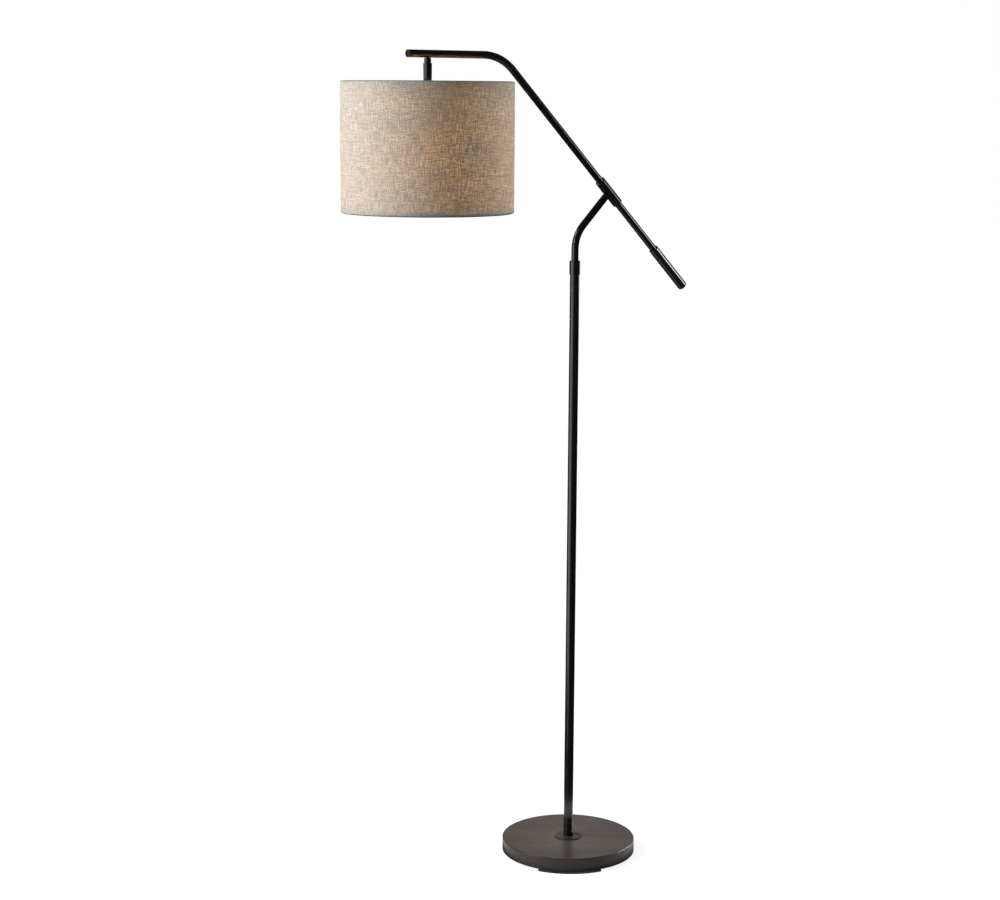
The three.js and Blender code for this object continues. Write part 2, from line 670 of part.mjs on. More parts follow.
function makeSwivelBall() {
  const radius = HOUSING_CAVITY - GAP;
  const ballTop = 60; // degrees
  const stemAngle = Math.acos(BALL_STEM_RADIUS / radius) * 180 / Math.PI;
  return ring([
    [BALL_BORE, stemBottom], [BALL_STEM_RADIUS, stemBottom],
    ...arc(0, 0, radius, -stemAngle, ballTop, 6), [BALL_BORE, radius * Math.sin(radians(ballTop))],
  ]);
}

place('swivel_ball', makeSwivelBall(), zincSteel, head);

// ---- Socket cover and lamp holder ----

const shelfTop = -SHELF_TOP_DROP;
const shelfBottom = -SHELF_BOTTOM_DROP;
const stemNutTop = shelfBottom - GAP;
place('stem_nut', plainRing(
  BALL_STEM_RADIUS + GAP, SMALL_NUT_RADIUS, stemNutTop - STEM_NUT_HEIGHT, stemNutTop, 0, ROUND_SMALL,
), zincSteel, head);

// A tapered cover, hung on the ball's stem by a shelf inside it. Its open top clears the ball housing.
function makeSocketCover() {
  const top = -COVER_TOP_DROP;
  const bottom = -COVER_BOTTOM_DROP;
  const mouthAngle = Math.asin(COVER_TOP_DROP / cavity) * 180 / Math.PI;
  const bore = COVER_BORE;
  const stemHole = BALL_STEM_RADIUS + GAP;
  const edge = 0.8;
  return ring([
    [bore, bottom], [COVER_BOTTOM_RADIUS, bottom],
    [COVER_TOP_RADIUS, top - edge], [COVER_TOP_RADIUS - edge / 2, top],
    ...arc(0, 0, cavity, -mouthAngle - 3, -SEAT_END_ANGLE, 4),
    [stemHole + 1, shelfTop + 2], [stemHole, shelfTop], [stemHole, shelfBottom], [bore, shelfBottom],
  ]);
}

place('socket_cover', makeSocketCover(), bronze, head);

const hubTop = -COVER_BOTTOM_DROP - GAP;
const hubBottom = hubTop - HUB_THICKNESS;
const capTop = hubBottom - GAP;
const capBottom = capTop - SOCKET_CAP_HEIGHT;
const shellTop = capBottom - GAP;
const shellBottom = shellTop - SOCKET_SHELL_HEIGHT;

// A short threaded tube that clamps the cover, the spider's hub and the cap of the lamp holder together.
place('socket_nipple', plainRing(
  NIPPLE_BORE, NIPPLE_RADIUS, capTop - SOCKET_NIPPLE_DROP, hubTop + SOCKET_NIPPLE_RISE, 0, ROUND_SMALL,
), zincSteel, head);

function makeSocketCap() {
  const inside = SOCKET_RADIUS - SOCKET_CAP_WALL;
  const roof = capTop - SOCKET_CAP_ROOF;
  const shoulder = SOCKET_CAP_SHOULDER;
  return ring([
    [nippleHole, capTop], ...arc(SOCKET_RADIUS - shoulder, capTop - shoulder, shoulder, 90, 0, 3),
    [SOCKET_RADIUS, capBottom], [inside, capBottom],
    [inside, capTop - shoulder], [inside - SOCKET_CAP_ROOF, roof], [nippleHole, roof],
  ].reverse());
}

place('socket_cap', makeSocketCap(), phenolic, head);

const knobHeight = shellTop - KNOB_DROP;

function makeSocketShell() {
  const shell = plainRing(SOCKET_BORE, SOCKET_RADIUS, shellBottom, shellTop);
  const inside = new THREE.Vector3(-SOCKET_BORE + KNOB_STEM_RADIUS, 0, knobHeight);
  const outside = new THREE.Vector3(-SOCKET_RADIUS - KNOB_STEM_RADIUS, 0, knobHeight);
  return cut(shell, rod(inside, outside, KNOB_STEM_RADIUS + GAP, 12));
}

place('socket_shell', makeSocketShell(), phenolic, head);

const insulatorTop = shellTop - GAP;
const insulatorBottom = insulatorTop - INSULATOR_HEIGHT;

function makeSocketInsulator() {
  const radius = SOCKET_BORE - GAP;
  const body = turned([
    [0, insulatorBottom], [radius, insulatorBottom], [radius, insulatorTop], [0, insulatorTop],
  ]);
  const inside = new THREE.Vector3(1 - KNOB_STEM_START, 0, knobHeight);
  const outside = new THREE.Vector3(-SOCKET_RADIUS, 0, knobHeight);
  return cut(body, rod(inside, outside, KNOB_STEM_RADIUS + GAP, 12));
}

place('socket_insulator', makeSocketInsulator(), styrene, head);

// The turn switch: a stem into the lamp holder and a round knob outside it, turned about local -X.
function makeSwitchKnob() {
  const knobStart = SOCKET_RADIUS + KNOB_STANDOFF;
  const knobEnd = knobStart + KNOB_LENGTH;
  const edge = 0.8;
  const tipRadius = KNOB_RADIUS - 0.6;
  const knob = turned([
    [0, KNOB_STEM_START], [KNOB_STEM_RADIUS, KNOB_STEM_START], [KNOB_STEM_RADIUS, knobStart],
    [KNOB_RADIUS - edge, knobStart], [KNOB_RADIUS, knobStart + edge],
    [tipRadius, knobEnd - edge], [tipRadius - edge, knobEnd], [0, knobEnd],
  ], ROUND_SMALL);
  return knob.rotateY(-Math.PI / 2).translate(0, 0, knobHeight);
}

place('switch_knob', makeSwitchKnob(), brass, head);

// ---- Bulb ----

const bulbTop = insulatorBottom - GAP;
const bulbBaseBottom = bulbTop - BULB_BASE_HEIGHT;

function makeBulbBase() {
  const contact = BULB_CONTACT_RADIUS;
  return turned([
    [0, bulbBaseBottom], [BULB_BASE_RADIUS, bulbBaseBottom], [BULB_BASE_RADIUS, bulbTop - 1.5 * contact],
    [1.5 * contact, bulbTop - contact / 2], [contact, bulbTop], [0, bulbTop],
  ]);
}

// A pear-shaped bulb: a round lower part that narrows to the neck at its metal base.
function makeBulbGlass() {
  const top = bulbBaseBottom - GAP;
  const centre = top - BULB_GLASS_HEIGHT + BULB_RADIUS;
  const shoulderAngle = 35;
  const shoulder = new THREE.Vector2(
    BULB_RADIUS * Math.cos(radians(shoulderAngle)), centre + BULB_RADIUS * Math.sin(radians(shoulderAngle)),
  );
  const neck = new THREE.Vector2(BULB_BASE_RADIUS - 0.5, top);
  const leave = new THREE.Vector2(-Math.sin(radians(shoulderAngle)), Math.cos(radians(shoulderAngle)));
  const flank = new THREE.CubicBezierCurve(
    shoulder, shoulder.clone().addScaledVector(leave, 12), neck.clone().add(new THREE.Vector2(0, -14)), neck,
  );
  return turned([
    ...arc(0, centre, BULB_RADIUS, -90, shoulderAngle, 7),
    ...flank.getPoints(4).slice(1).map((point) => [point.x, point.y]), [0, top],
  ]);
}

place('bulb_base', makeBulbBase(), zincSteel, head);
place('bulb_glass', makeBulbGlass(), frostedGlass, head);

// ---- Shade ----

const shadeTop = SHADE_TOP - swivelCentre.z;
const shadeBottom = SHADE_BOTTOM - swivelCentre.z;
const fabricInside = SHADE_RADIUS - FABRIC_THICKNESS;
const linerOutside = fabricInside - GAP;
const linerInside = linerOutside - LINER_THICKNESS;
const ringRadius = linerInside - GAP - RING_WIRE;
const topRingHeight = shadeTop - LINER_SETBACK - RING_WIRE;
const bottomRingHeight = shadeBottom + LINER_SETBACK + RING_WIRE;

function wireRing(height) {
  return new THREE.TorusGeometry(ringRadius, RING_WIRE, 6, ROUND_SHADE).translate(0, 0, height);
}

// The fitter: a hub clamped under the cover, and spokes that carry the top ring.
function makeSpider() {
  const hubMiddle = (hubTop + hubBottom) / 2;
  const hub = plainRing(nippleHole, HUB_RADIUS, hubBottom, hubTop);
  const spokes = Array.from({ length: SPOKE_COUNT }, (_, i) => {
    const angle = Math.PI / 2 + 2 * Math.PI * i / SPOKE_COUNT;
    const outwards = new THREE.Vector3(Math.cos(angle), Math.sin(angle), 0);
    const start = outwards.clone().multiplyScalar(SPOKE_ROOT_RADIUS).setZ(hubTop - 1);
    const end = outwards.clone().multiplyScalar(ringRadius).setZ(topRingHeight);
    return rod(start, end, SPOKE_WIRE, 8);
  });
  const nippleBore = new THREE.CylinderGeometry(nippleHole, nippleHole, 20, ROUND_SMALL).rotateX(Math.PI / 2);
  nippleBore.translate(0, 0, hubMiddle);
  return cut(join(wireRing(topRingHeight), hub, ...spokes), nippleBore);
}

function drum(inside, outside, low, high) {
  return plainRing(inside, outside, low, high, 0, ROUND_SHADE);
}

place('shade_spider', makeSpider(), zincSteel, head);
place('bottom_ring', wireRing(bottomRingHeight), zincSteel, head);
place('shade_liner', drum(linerInside, linerOutside, shadeBottom + LINER_SETBACK, shadeTop - LINER_SETBACK),
  styrene, head);
place('shade_fabric', drum(fabricInside, SHADE_RADIUS, shadeBottom, shadeTop), linen, head);

export default lamp;
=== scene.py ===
# Looks of the adjustable arm floor lamp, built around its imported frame.
# Metres, +Z up. The pole stands on the Z axis, and the arm lies in the XZ plane.
import json
import math

import bmesh
import bpy
from mathutils import Matrix, Quaternion, Vector


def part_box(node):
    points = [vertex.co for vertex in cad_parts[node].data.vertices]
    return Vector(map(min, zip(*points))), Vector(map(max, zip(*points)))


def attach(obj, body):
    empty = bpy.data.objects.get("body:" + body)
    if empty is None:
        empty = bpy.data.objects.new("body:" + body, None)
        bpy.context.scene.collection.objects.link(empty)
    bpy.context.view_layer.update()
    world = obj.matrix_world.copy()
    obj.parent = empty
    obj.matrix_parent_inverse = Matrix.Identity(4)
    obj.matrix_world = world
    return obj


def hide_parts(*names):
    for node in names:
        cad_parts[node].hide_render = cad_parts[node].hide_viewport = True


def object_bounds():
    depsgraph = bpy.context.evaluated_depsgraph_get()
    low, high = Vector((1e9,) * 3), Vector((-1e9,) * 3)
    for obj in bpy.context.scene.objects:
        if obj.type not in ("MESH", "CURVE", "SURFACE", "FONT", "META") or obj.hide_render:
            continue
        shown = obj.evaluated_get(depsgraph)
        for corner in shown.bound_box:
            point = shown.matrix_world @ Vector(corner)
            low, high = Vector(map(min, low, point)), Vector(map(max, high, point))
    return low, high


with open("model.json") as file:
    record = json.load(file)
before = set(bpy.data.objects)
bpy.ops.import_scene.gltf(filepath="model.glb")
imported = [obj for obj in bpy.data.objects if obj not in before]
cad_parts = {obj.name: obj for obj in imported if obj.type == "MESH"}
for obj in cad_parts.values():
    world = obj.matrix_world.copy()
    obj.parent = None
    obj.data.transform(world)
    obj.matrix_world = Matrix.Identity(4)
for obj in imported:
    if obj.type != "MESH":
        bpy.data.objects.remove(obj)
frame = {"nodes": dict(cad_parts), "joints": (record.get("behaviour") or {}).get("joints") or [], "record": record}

cad_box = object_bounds()

MM = 0.001
X, Y, UP = Vector((1, 0, 0)), Vector((0, 1, 0)), Vector((0, 0, 1))
ORIGIN = Vector((0, 0, 0))
FULL_TURN = 2 * math.pi

# ---- Where things are, from the frame ----

joints = {joint["name"]: joint for joint in frame["joints"]}
sleeve_centre = Vector(joints["arm_swivel"]["pos_m"])
swivel_axis = Vector(joints["arm_swivel"]["axis"]).normalized()
arm_axis = Vector(joints["arm_slide"]["axis"]).normalized()
ball_centre = Vector(joints["shade_tilt"]["pos_m"])
knob_centre = Vector(joints["switch_turn"]["pos_m"])

record = frame["record"]
node_body = {node: body for body, nodes in record["behaviour"]["bodies"].items() for node in nodes}
node_slot = {part["node"]: part["material_slot"] for part in record["subparts"]}


def reach(node, origin, axis):
    """Where a CAD node begins and ends along an axis through origin."""
    heights = [(v.co - origin).dot(axis) for v in frame["nodes"][node].data.vertices]
    return min(heights), max(heights)


def girth(node, origin, axis):
    """The outer radius of a round CAD node about an axis through origin."""
    return max((v.co - origin).cross(axis).length for v in frame["nodes"][node].data.vertices)


# ---- Camera ----

# Solved from the photograph's edges. Angles in degrees.
CAMERA_PLACE = (-2.476, -3.266, 1.506)
CAMERA_HEADING = 35.17  # clockwise from +Y
CAMERA_PITCH = 9.46  # downwards
CAMERA_ROLL = 0.353
LENS = 76.05

looks_at = math.radians(CAMERA_HEADING)
heading = Vector((math.sin(looks_at), math.cos(looks_at), 0))
rightwards = heading.cross(UP)


def towards(azimuth, elevation):
    """A direction from the lamp: azimuth 0 is to the camera, positive to its right, in degrees."""
    a, e = math.radians(azimuth), math.radians(elevation)
    level = -heading * math.cos(a) + rightwards * math.sin(a)
    return level * math.cos(e) + UP * math.sin(e)


def make_camera():
    data = bpy.data.cameras.new("camera")
    data.lens = LENS
    camera = bpy.data.objects.new("camera", data)
    bpy.context.scene.collection.objects.link(camera)
    pitch = math.radians(CAMERA_PITCH)
    looking = heading * math.cos(pitch) - UP * math.sin(pitch)
    camera.location = CAMERA_PLACE
    camera.rotation_mode = "QUATERNION"
    roll = Quaternion((0, 0, 1), math.radians(CAMERA_ROLL))
    camera.rotation_quaternion = looking.to_track_quat("-Z", "Y") @ roll
    bpy.context.scene.camera = camera


make_camera()

# ---- Materials ----


class Finish:
    """A node material with helpers that add to its tree."""

    # Sockets of the Mix node, which has one set for numbers and one for colours.
    NUMBER_A, NUMBER_B, COLOR_A, COLOR_B, COLOR_OUT = 2, 3, 6, 7, 2

    def __init__(self, name, color, **sockets):
        self.material = bpy.data.materials.new(name)
        self.material.use_nodes = True
        self.tree = self.material.node_tree
        self.shader = self.tree.nodes["Principled BSDF"]
        self.output = self.tree.nodes["Material Output"]
        self.shader.inputs["Base Color"].default_value = (*color, 1)
        for key, value in sockets.items():
            socket = key.replace("_", " ").title().replace("Ior", "IOR")
            self.shader.inputs[socket].default_value = value

    def node(self, kind, inputs=(), **settings):
        made = self.tree.nodes.new(kind)
        for key, value in settings.items():
            setattr(made, key, value)
        for key, value in dict(inputs).items():
            self.feed(made.inputs[key], value)
        return made

    def feed(self, socket, value):
        if isinstance(value, bpy.types.NodeSocket):
            self.tree.links.new(value, socket)
        elif isinstance(value, (tuple, list)) and socket.type == "RGBA":
            socket.default_value = (*value[:3], 1)
        else:
            socket.default_value = value

    def coords(self, scale=(1, 1, 1), turn=(0, 0, 0)):
        """The piece's own coordinates, turned and then stretched."""
        place = self.node("ShaderNodeTexCoord").outputs["Object"]
        turned = self.node("ShaderNodeMapping", {"Vector": place, "Rotation": turn}).outputs[0]
        return self.node("ShaderNodeMapping", {"Vector": turned, "Scale": scale}).outputs[0]

    def noise(self, vector, scale, detail=2.0, roughness=0.5, low=0.0, high=1.0):
        """Noise, spread so that its usual range fills low to high."""
        made = self.node("ShaderNodeTexNoise", {
            "Vector": vector, "Scale": scale, "Detail": detail, "Roughness": roughness,
        })
        return self.spread(made.outputs[0], 0.3, 0.7, low, high)

    def spread(self, value, from_low, from_high, low, high):
        """The value's range from_low to from_high, stretched to low to high and cut off there."""
        return self.node("ShaderNodeMapRange", {
            "Value": value, "From Min": from_low, "From Max": from_high,
            "To Min": low, "To Max": high,
        }).outputs[0]

    def math(self, operation, a, b=0.0):
        return self.node("ShaderNodeMath", {0: a, 1: b}, operation=operation).outputs[0]

    def total(self, *shares):
        """The sum of (share, value) pairs."""
        values = [self.math("MULTIPLY", value, share) for share, value in shares]
        while len(values) > 1:
            values.append(self.math("ADD", values.pop(0), values.pop(0)))
        return values[0]

    def parts(self, vector):
        """The three numbers of a vector."""
        return self.node("ShaderNodeSeparateXYZ", {0: vector}).outputs

    def blend(self, share, first, second):
        """Between two numbers."""
        made = self.node("ShaderNodeMix", {0: share, self.NUMBER_A: first, self.NUMBER_B: second})
        return made.outputs[0]

    def mix(self, share, first, second):
        """Between two colours."""
        made = self.node("ShaderNodeMix", data_type="RGBA")
        self.feed(made.inputs["Factor"], share)
        self.feed(made.inputs[self.COLOR_A], first)
        self.feed(made.inputs[self.COLOR_B], second)
        return made.outputs[self.COLOR_OUT]

    def bump(self, height, depth):
        made = self.node("ShaderNodeBump", {"Height": height, "Distance": depth, "Strength": 1.0})
        self.feed(self.shader.inputs["Normal"], made.outputs[0])
        return made.outputs[0]

    def surface(self, share, first, second):
        """Shows a mix of two shaders."""
        made = self.node("ShaderNodeMixShader", {0: share, 1: first, 2: second})
        self.feed(self.output.inputs["Surface"], made.outputs[0])

    def color(self, value):
        self.feed(self.shader.inputs["Base Color"], value)

    def roughness(self, value):
        self.feed(self.shader.inputs["Roughness"], value)

    def worn_edges(self):
        """1 along outer edges, 0 elsewhere, broken up by noise."""
        pointed = self.node("ShaderNodeNewGeometry").outputs["Pointiness"]
        edge = self.spread(pointed, 0.52, 0.6, 0, 1)
        return self.math("MULTIPLY", edge, self.noise(self.coords(), 160, 3.0))


def make_bronze():
    """Dark bronze lacquer on steel tube: glossy, with a faint orange peel and rubbed edges."""
    f = Finish("bronze_lacquer", (0.008, 0.007, 0.006), roughness=0.2, specular_ior_level=0.5)
    place = f.coords()
    patches = f.noise(place, 22, 3.0)
    body = f.mix(patches, (0.0050, 0.0046, 0.0043), (0.0105, 0.0086, 0.0072))
    f.color(f.mix(f.math("MULTIPLY", f.worn_edges(), 0.5), body, (0.075, 0.05, 0.034)))
    smears = f.noise(f.coords((1, 1, 0.25)), 55, 4.0, 0.6, 0.10, 0.20)
    f.roughness(smears)
    peel = f.noise(place, 420, 2.0)
    specks = f.noise(place, 1500, 1.0)
    f.bump(f.total((0.75, peel), (0.25, specks)), 0.003 * MM)
    return f.material


def make_base_paint():
    """The base's lacquer over brushed steel: fine straight streaks across the top only."""
    f = Finish("brushed_lacquer", (0.05, 0.04, 0.033), roughness=0.32, specular_ior_level=0.32)
    turn = (0, 0, math.atan2(heading.x, heading.y))
    brushed = f.noise(f.coords((4, 420, 60), turn), 1, 3.0, 0.6)
    upward = f.parts(f.node("ShaderNodeNewGeometry").outputs["Normal"])[2]
    streaks = f.blend(f.spread(upward, 0.3, 0.9, 0, 1), 0.5, brushed)
    broad = f.noise(f.coords((2.5, 60, 12), turn), 1, 2.0)
    patches = f.noise(f.coords(), 16, 3.0)
    tone = f.total((0.35, streaks), (0.4, broad), (0.25, patches))
    body = f.mix(tone, (0.026, 0.0198, 0.0166), (0.066, 0.051, 0.0425))
    f.color(f.mix(f.math("MULTIPLY", f.worn_edges(), 0.4), body, (0.20, 0.16, 0.13)))
    f.roughness(f.total((0.14, streaks), (0.08, patches), (0.19, 1.0)))
    f.bump(f.total((0.7, streaks), (0.3, f.noise(f.coords(), 700, 2.0))), 0.04 * MM)
    return f.material


def make_cast_iron():
    """Sand cast iron, with a little rust."""
    f = Finish("cast_iron", (0.05, 0.05, 0.052), roughness=0.8, metallic=0.4)
    grit = f.noise(f.coords(), 380, 4.0, 0.65)
    rust = f.noise(f.coords(), 30, 4.0, 0.6)
    f.color(f.mix(rust, (0.035, 0.036, 0.039), (0.075, 0.062, 0.052)))
    f.roughness(f.total((0.25, grit), (0.62, 1.0)))
    f.bump(f.total((0.7, grit), (0.3, rust)), 0.4 * MM)
    return f.material


def make_zinc():
    """Zinc plated steel, clouded, with fine machining lines."""
    f = Finish("zinc_plate", (0.55, 0.56, 0.57), roughness=0.35, metallic=1.0)
    lines = f.noise(f.coords((1, 1, 14)), 180, 3.0)
    cloud = f.noise(f.coords(), 60, 3.0)
    f.color(f.mix(cloud, (0.47, 0.48, 0.49), (0.63, 0.63, 0.61)))
    f.roughness(f.total((0.2, lines), (0.26, 1.0)))
    f.bump(lines, 0.03 * MM)
    return f.material


def make_wire():
    """Lacquered steel wire of the shade's frame."""
    f = Finish("wire_lacquer", (0.03, 0.026, 0.023), roughness=0.38)
    drawn = f.noise(f.coords(), 240, 3.0)
    f.color(f.mix(f.noise(f.coords(), 40, 2.0), (0.02, 0.018, 0.016), (0.045, 0.037, 0.031)))
    f.roughness(f.total((0.2, drawn), (0.28, 1.0)))
    f.bump(drawn, 0.05 * MM)
    return f.material


def make_cap_metal():
    """The bulb's thin aluminium screw cap, dulled in patches."""
    f = Finish("cap_metal", (0.7, 0.69, 0.66), roughness=0.3, metallic=1.0)
    dull = f.noise(f.coords(), 190, 4.0, 0.6)
    f.color(f.mix(dull, (0.52, 0.50, 0.46), (0.78, 0.77, 0.74)))
    f.roughness(f.total((0.3, dull), (0.18, 1.0)))
    f.bump(dull, 0.04 * MM)
    return f.material


def make_rubber():
    """Grainy black rubber, lightly dusted."""
    f = Finish("rubber", (0.02, 0.02, 0.02), roughness=0.75, specular_ior_level=0.3)
    grain = f.noise(f.coords(), 650, 3.0, 0.6)
    dust = f.noise(f.coords(), 45, 4.0, 0.6)
    f.color(f.mix(dust, (0.012, 0.012, 0.012), (0.034, 0.033, 0.031)))
    f.roughness(f.total((0.2, grain), (0.62, 1.0)))
    f.bump(grain, 0.12 * MM)
    return f.material


def make_plastic(name, dark, light, roughness, depth):
    """A moulded plastic or glaze: faint flow marks and a slight skin texture."""
    f = Finish(name, dark, roughness=roughness)
    flow = f.noise(f.coords((1, 1, 0.3)), 70, 3.0)
    skin = f.noise(f.coords(), 520, 2.0)
    f.color(f.mix(flow, dark, light))
    f.roughness(f.total((0.14, skin), (roughness - 0.06, 1.0)))
    f.bump(skin, depth)
    return f.material


def make_brass():
    """Turned brass, tarnished in patches."""
    f = Finish("brass", (0.6, 0.42, 0.16), roughness=0.3, metallic=1.0)
    turned = f.noise(f.coords((30, 1, 1)), 90, 3.0)
    tarnish = f.noise(f.coords(), 220, 4.0, 0.65)
    f.color(f.mix(tarnish, (0.42, 0.27, 0.10), (0.70, 0.50, 0.20)))
    f.roughness(f.total((0.2, tarnish), (0.2, 1.0)))
    f.bump(turned, 0.03 * MM)
    return f.material


BULB_GLOW = 185.0  # emission strength
BULB_TINT = (1.0, 0.60, 0.33)


def make_bulb_glass():
    """Frosted glass, lit from inside: brighter low down, where the filament hangs."""
    f = Finish("frosted_glass", (0.9, 0.88, 0.84), roughness=0.35, emission_strength=BULB_GLOW)
    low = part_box("bulb_glass")[0]
    height = f.parts(f.node("ShaderNodeTexCoord").outputs["Object"])[2]
    neck = f.spread(height, low.z + 20 * MM, low.z + 65 * MM, 0, 1)
    frost = f.noise(f.coords(), 900, 2.0)
    f.feed(f.shader.inputs["Emission Color"], f.mix(neck, BULB_TINT, (0.30, 0.17, 0.08)))
    f.roughness(f.total((0.2, frost), (0.3, 1.0)))
    f.bump(frost, 0.03 * MM)
    return f.material


def see_through(f, share, tint, normal):
    """Lets part of the light that falls on one side of a thin sheet out of its other side."""
    glow = f.node("ShaderNodeBsdfTranslucent", {"Color": tint, "Normal": normal})
    f.surface(share, f.shader.outputs[0], glow.outputs[0])


def make_styrene():
    """The stiff film inside the shade."""
    f = Finish("styrene_film", (0.80, 0.76, 0.68), roughness=0.5)
    cloud = f.noise(f.coords(), 35, 3.0)
    skin = f.noise(f.coords(), 600, 2.0)
    tone = f.mix(cloud, (0.80, 0.76, 0.68), (0.90, 0.87, 0.80))
    f.color(tone)
    f.roughness(f.total((0.15, skin), (0.42, 1.0)))
    see_through(f, 0.88, tone, f.bump(skin, 0.05 * MM))
    return f.material


YARN_PITCH = 0.78 * MM
CLOTH = 0.7 * MM  # thickness
ROLL = 3.2 * MM  # radius of the cloth's roll round a wire ring, to the middle of the cloth
ROLL_ARC = 280  # degrees, from the cloth's edge inside the shade to the outer face
TURNED_IN = ROLL * math.radians(ROLL_ARC)  # width of cloth that goes into one roll
cloth_low, cloth_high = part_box("shade_fabric")
CLOTH_HEIGHT = cloth_high.z - cloth_low.z - 2 * ROLL - CLOTH + 2 * TURNED_IN


def make_linen():
    """Slubby plain weave. Its pattern lies in the cloth's own flat coordinates, in metres."""
    f = Finish("linen", (0.7, 0.68, 0.63), roughness=0.9, sheen_weight=0.1, specular_ior_level=0.2)
    flat = f.node("ShaderNodeUVMap", uv_map="cloth").outputs[0]

    def threads(across, along, upright, detail=2.0, shift=0.0):
        """Noise stretched along the warp or along the weft, with cells of that size."""
        scale = (1 / across, 1 / along, 1) if upright else (1 / along, 1 / across, 1)
        place = f.node("ShaderNodeMapping", {
            "Vector": flat, "Scale": scale, "Location": (shift, shift, shift),
        })
        return f.noise(place.outputs[0], 1, detail, 0.55)

    warp = threads(1.3 * MM, 20 * MM, True)
    weft = threads(1.3 * MM, 16 * MM, False, shift=7.3)
    grain = f.noise(flat, 460, 1.0)
    thick_warp = f.spread(threads(3.0 * MM, 55 * MM, True, shift=3.1), 0.66, 0.92, 0, 1)
    thick_weft = f.spread(threads(2.8 * MM, 55 * MM, False, shift=5.7), 0.70, 0.96, 0, 1)
    broad_warp = threads(14 * MM, 70 * MM, True, 3.0)
    broad_weft = threads(14 * MM, 90 * MM, False, 3.0, shift=1.9)
    broad = f.total((0.5, broad_warp), (0.5, broad_weft))
    nubs = f.spread(f.noise(flat, 380, 2.0), 0.66, 1.0, 0, 1)

    # The weave itself: each yarn rises where it crosses over the next one.
    spot = f.parts(flat)
    cells = [f.math("DIVIDE", spot[i], YARN_PITCH) for i in (0, 1)]
    waves = [f.math("SINE", f.math("MULTIPLY", cell, math.pi)) for cell in cells]
    ridges = [f.math("ABSOLUTE", wave) for wave in waves]
    steps = f.math("ADD", f.math("FLOOR", cells[0]), f.math("FLOOR", cells[1]))
    weave = f.blend(f.math("PINGPONG", steps, 1.0), *ridges)

    yarns = f.total((0.58, warp), (0.42, weft))
    slubs = f.math("MAXIMUM", thick_warp, thick_weft)
    tone = f.total((0.72, yarns), (0.1, broad), (0.18, weave))
    cloth = f.mix(tone, (0.72, 0.70, 0.64), (0.85, 0.84, 0.79))
    cloth = f.mix(f.math("MULTIPLY", slubs, 0.3), cloth, (0.96, 0.93, 0.86))
    cloth = f.mix(f.math("MULTIPLY", nubs, 0.35), cloth, (0.46, 0.39, 0.31))

    # Where the cloth is rolled round the wire rings it is doubled and lets less light through; its colour there is
    # darkened as painted shade of the rolled edge.
    from_middle = f.math("ABSOLUTE", f.math("SUBTRACT", spot[1], CLOTH_HEIGHT / 2))
    hem_start = CLOTH_HEIGHT / 2 - TURNED_IN
    doubled_hem_and_painted_shade = f.spread(from_middle, hem_start + 1.0 * MM, hem_start + 2.6 * MM, 0, 1)
    # Painted shade: the rolled edge's colour is pulled towards dark brown, as if it were in shadow.
    f.color(f.mix(f.math("MULTIPLY", doubled_hem_and_painted_shade, 0.65), cloth, (0.16, 0.135, 0.11)))

    # Light from inside comes through between the yarns, and less through a thick one.
    open_weave = f.total((0.58, yarns), (0.30, grain), (0.12, weave))
    gaps = f.spread(open_weave, 0.38, 0.64, 0, 1)
    veil = f.mix(gaps, (0.03, 0.022, 0.014), (1.0, 0.91, 0.63))
    veil = f.mix(f.math("MULTIPLY", slubs, 0.75), veil, (0.13, 0.10, 0.07))
    veil = f.mix(f.math("MULTIPLY", nubs, 0.5), veil, (0.10, 0.07, 0.05))
    # The doubled cloth of the roll lets almost no light from inside through.
    veil = f.mix(doubled_hem_and_painted_shade, veil, (0.02, 0.015, 0.01))
    height = f.total((0.35, weave), (0.3, yarns), (0.25, slubs), (0.10, nubs))
    see_through(f, 0.48, veil, f.bump(height, 0.25 * MM))
    return f.material


materials = {
    "bronze_paint": make_bronze(),
    "base_paint": make_base_paint(),
    "cast_iron": make_cast_iron(),
    "zinc_steel": make_zinc(),
    "shade_wire": make_wire(),
    "bulb_cap": make_cap_metal(),
    "rubber": make_rubber(),
    "nylon": make_plastic("nylon", (0.70, 0.68, 0.62), (0.80, 0.78, 0.72), 0.5, 0.05 * MM),
    "black_nylon": make_plastic(
        "black_nylon", (0.012, 0.012, 0.012), (0.022, 0.021, 0.020), 0.5, 0.05 * MM),
    "phenolic": make_plastic(
        "phenolic", (0.011, 0.011, 0.011), (0.020, 0.018, 0.017), 0.4, 0.04 * MM),
    "insulator": make_plastic(
        "glazed_ceramic", (0.74, 0.72, 0.66), (0.84, 0.82, 0.77), 0.25, 0.02 * MM),
    "brass": make_brass(),
    "bulb_glass": make_bulb_glass(),
    "styrene": make_styrene(),
    "linen": make_linen(),
}

for name, node in frame["nodes"].items():
    node.data.materials.clear()
    node.data.materials.append(materials[node_slot[name]])

# ---- Mesh helpers ----

SHARP = math.radians(35)  # edges that turn more than this are not shaded smooth
HOLD = 0.3  # how far beyond a fillet its holding point lies, in fillet radii
END_RINGS = (0, 0.5 * MM, 1 * MM)  # where a swept tube has rings, from each of its ends
ON_AXIS = 1e-7


def piece(name, mesh, *nodes):
    """Makes a mesh the stand-in for CAD nodes: same body, same material slot."""
    mesh.shade_smooth()
    mesh.set_sharp_from_angle(angle=SHARP)
    made = bpy.data.objects.new(name, mesh)
    bpy.context.scene.collection.objects.link(made)
    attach(made, node_body[nodes[0]])
    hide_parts(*nodes)
    mesh.materials.clear()
    mesh.materials.append(materials[node_slot[nodes[0]]])
    return made


def axis_frame(origin, axis, forward=X):
    """The placement whose local Z runs along axis, with local X as near to forward as it can be."""
    z = axis.normalized()
    y = z.cross(forward).normalized()
    x = y.cross(z)
    return Matrix.Translation(origin) @ Matrix((x, y, z)).transposed().to_4x4()


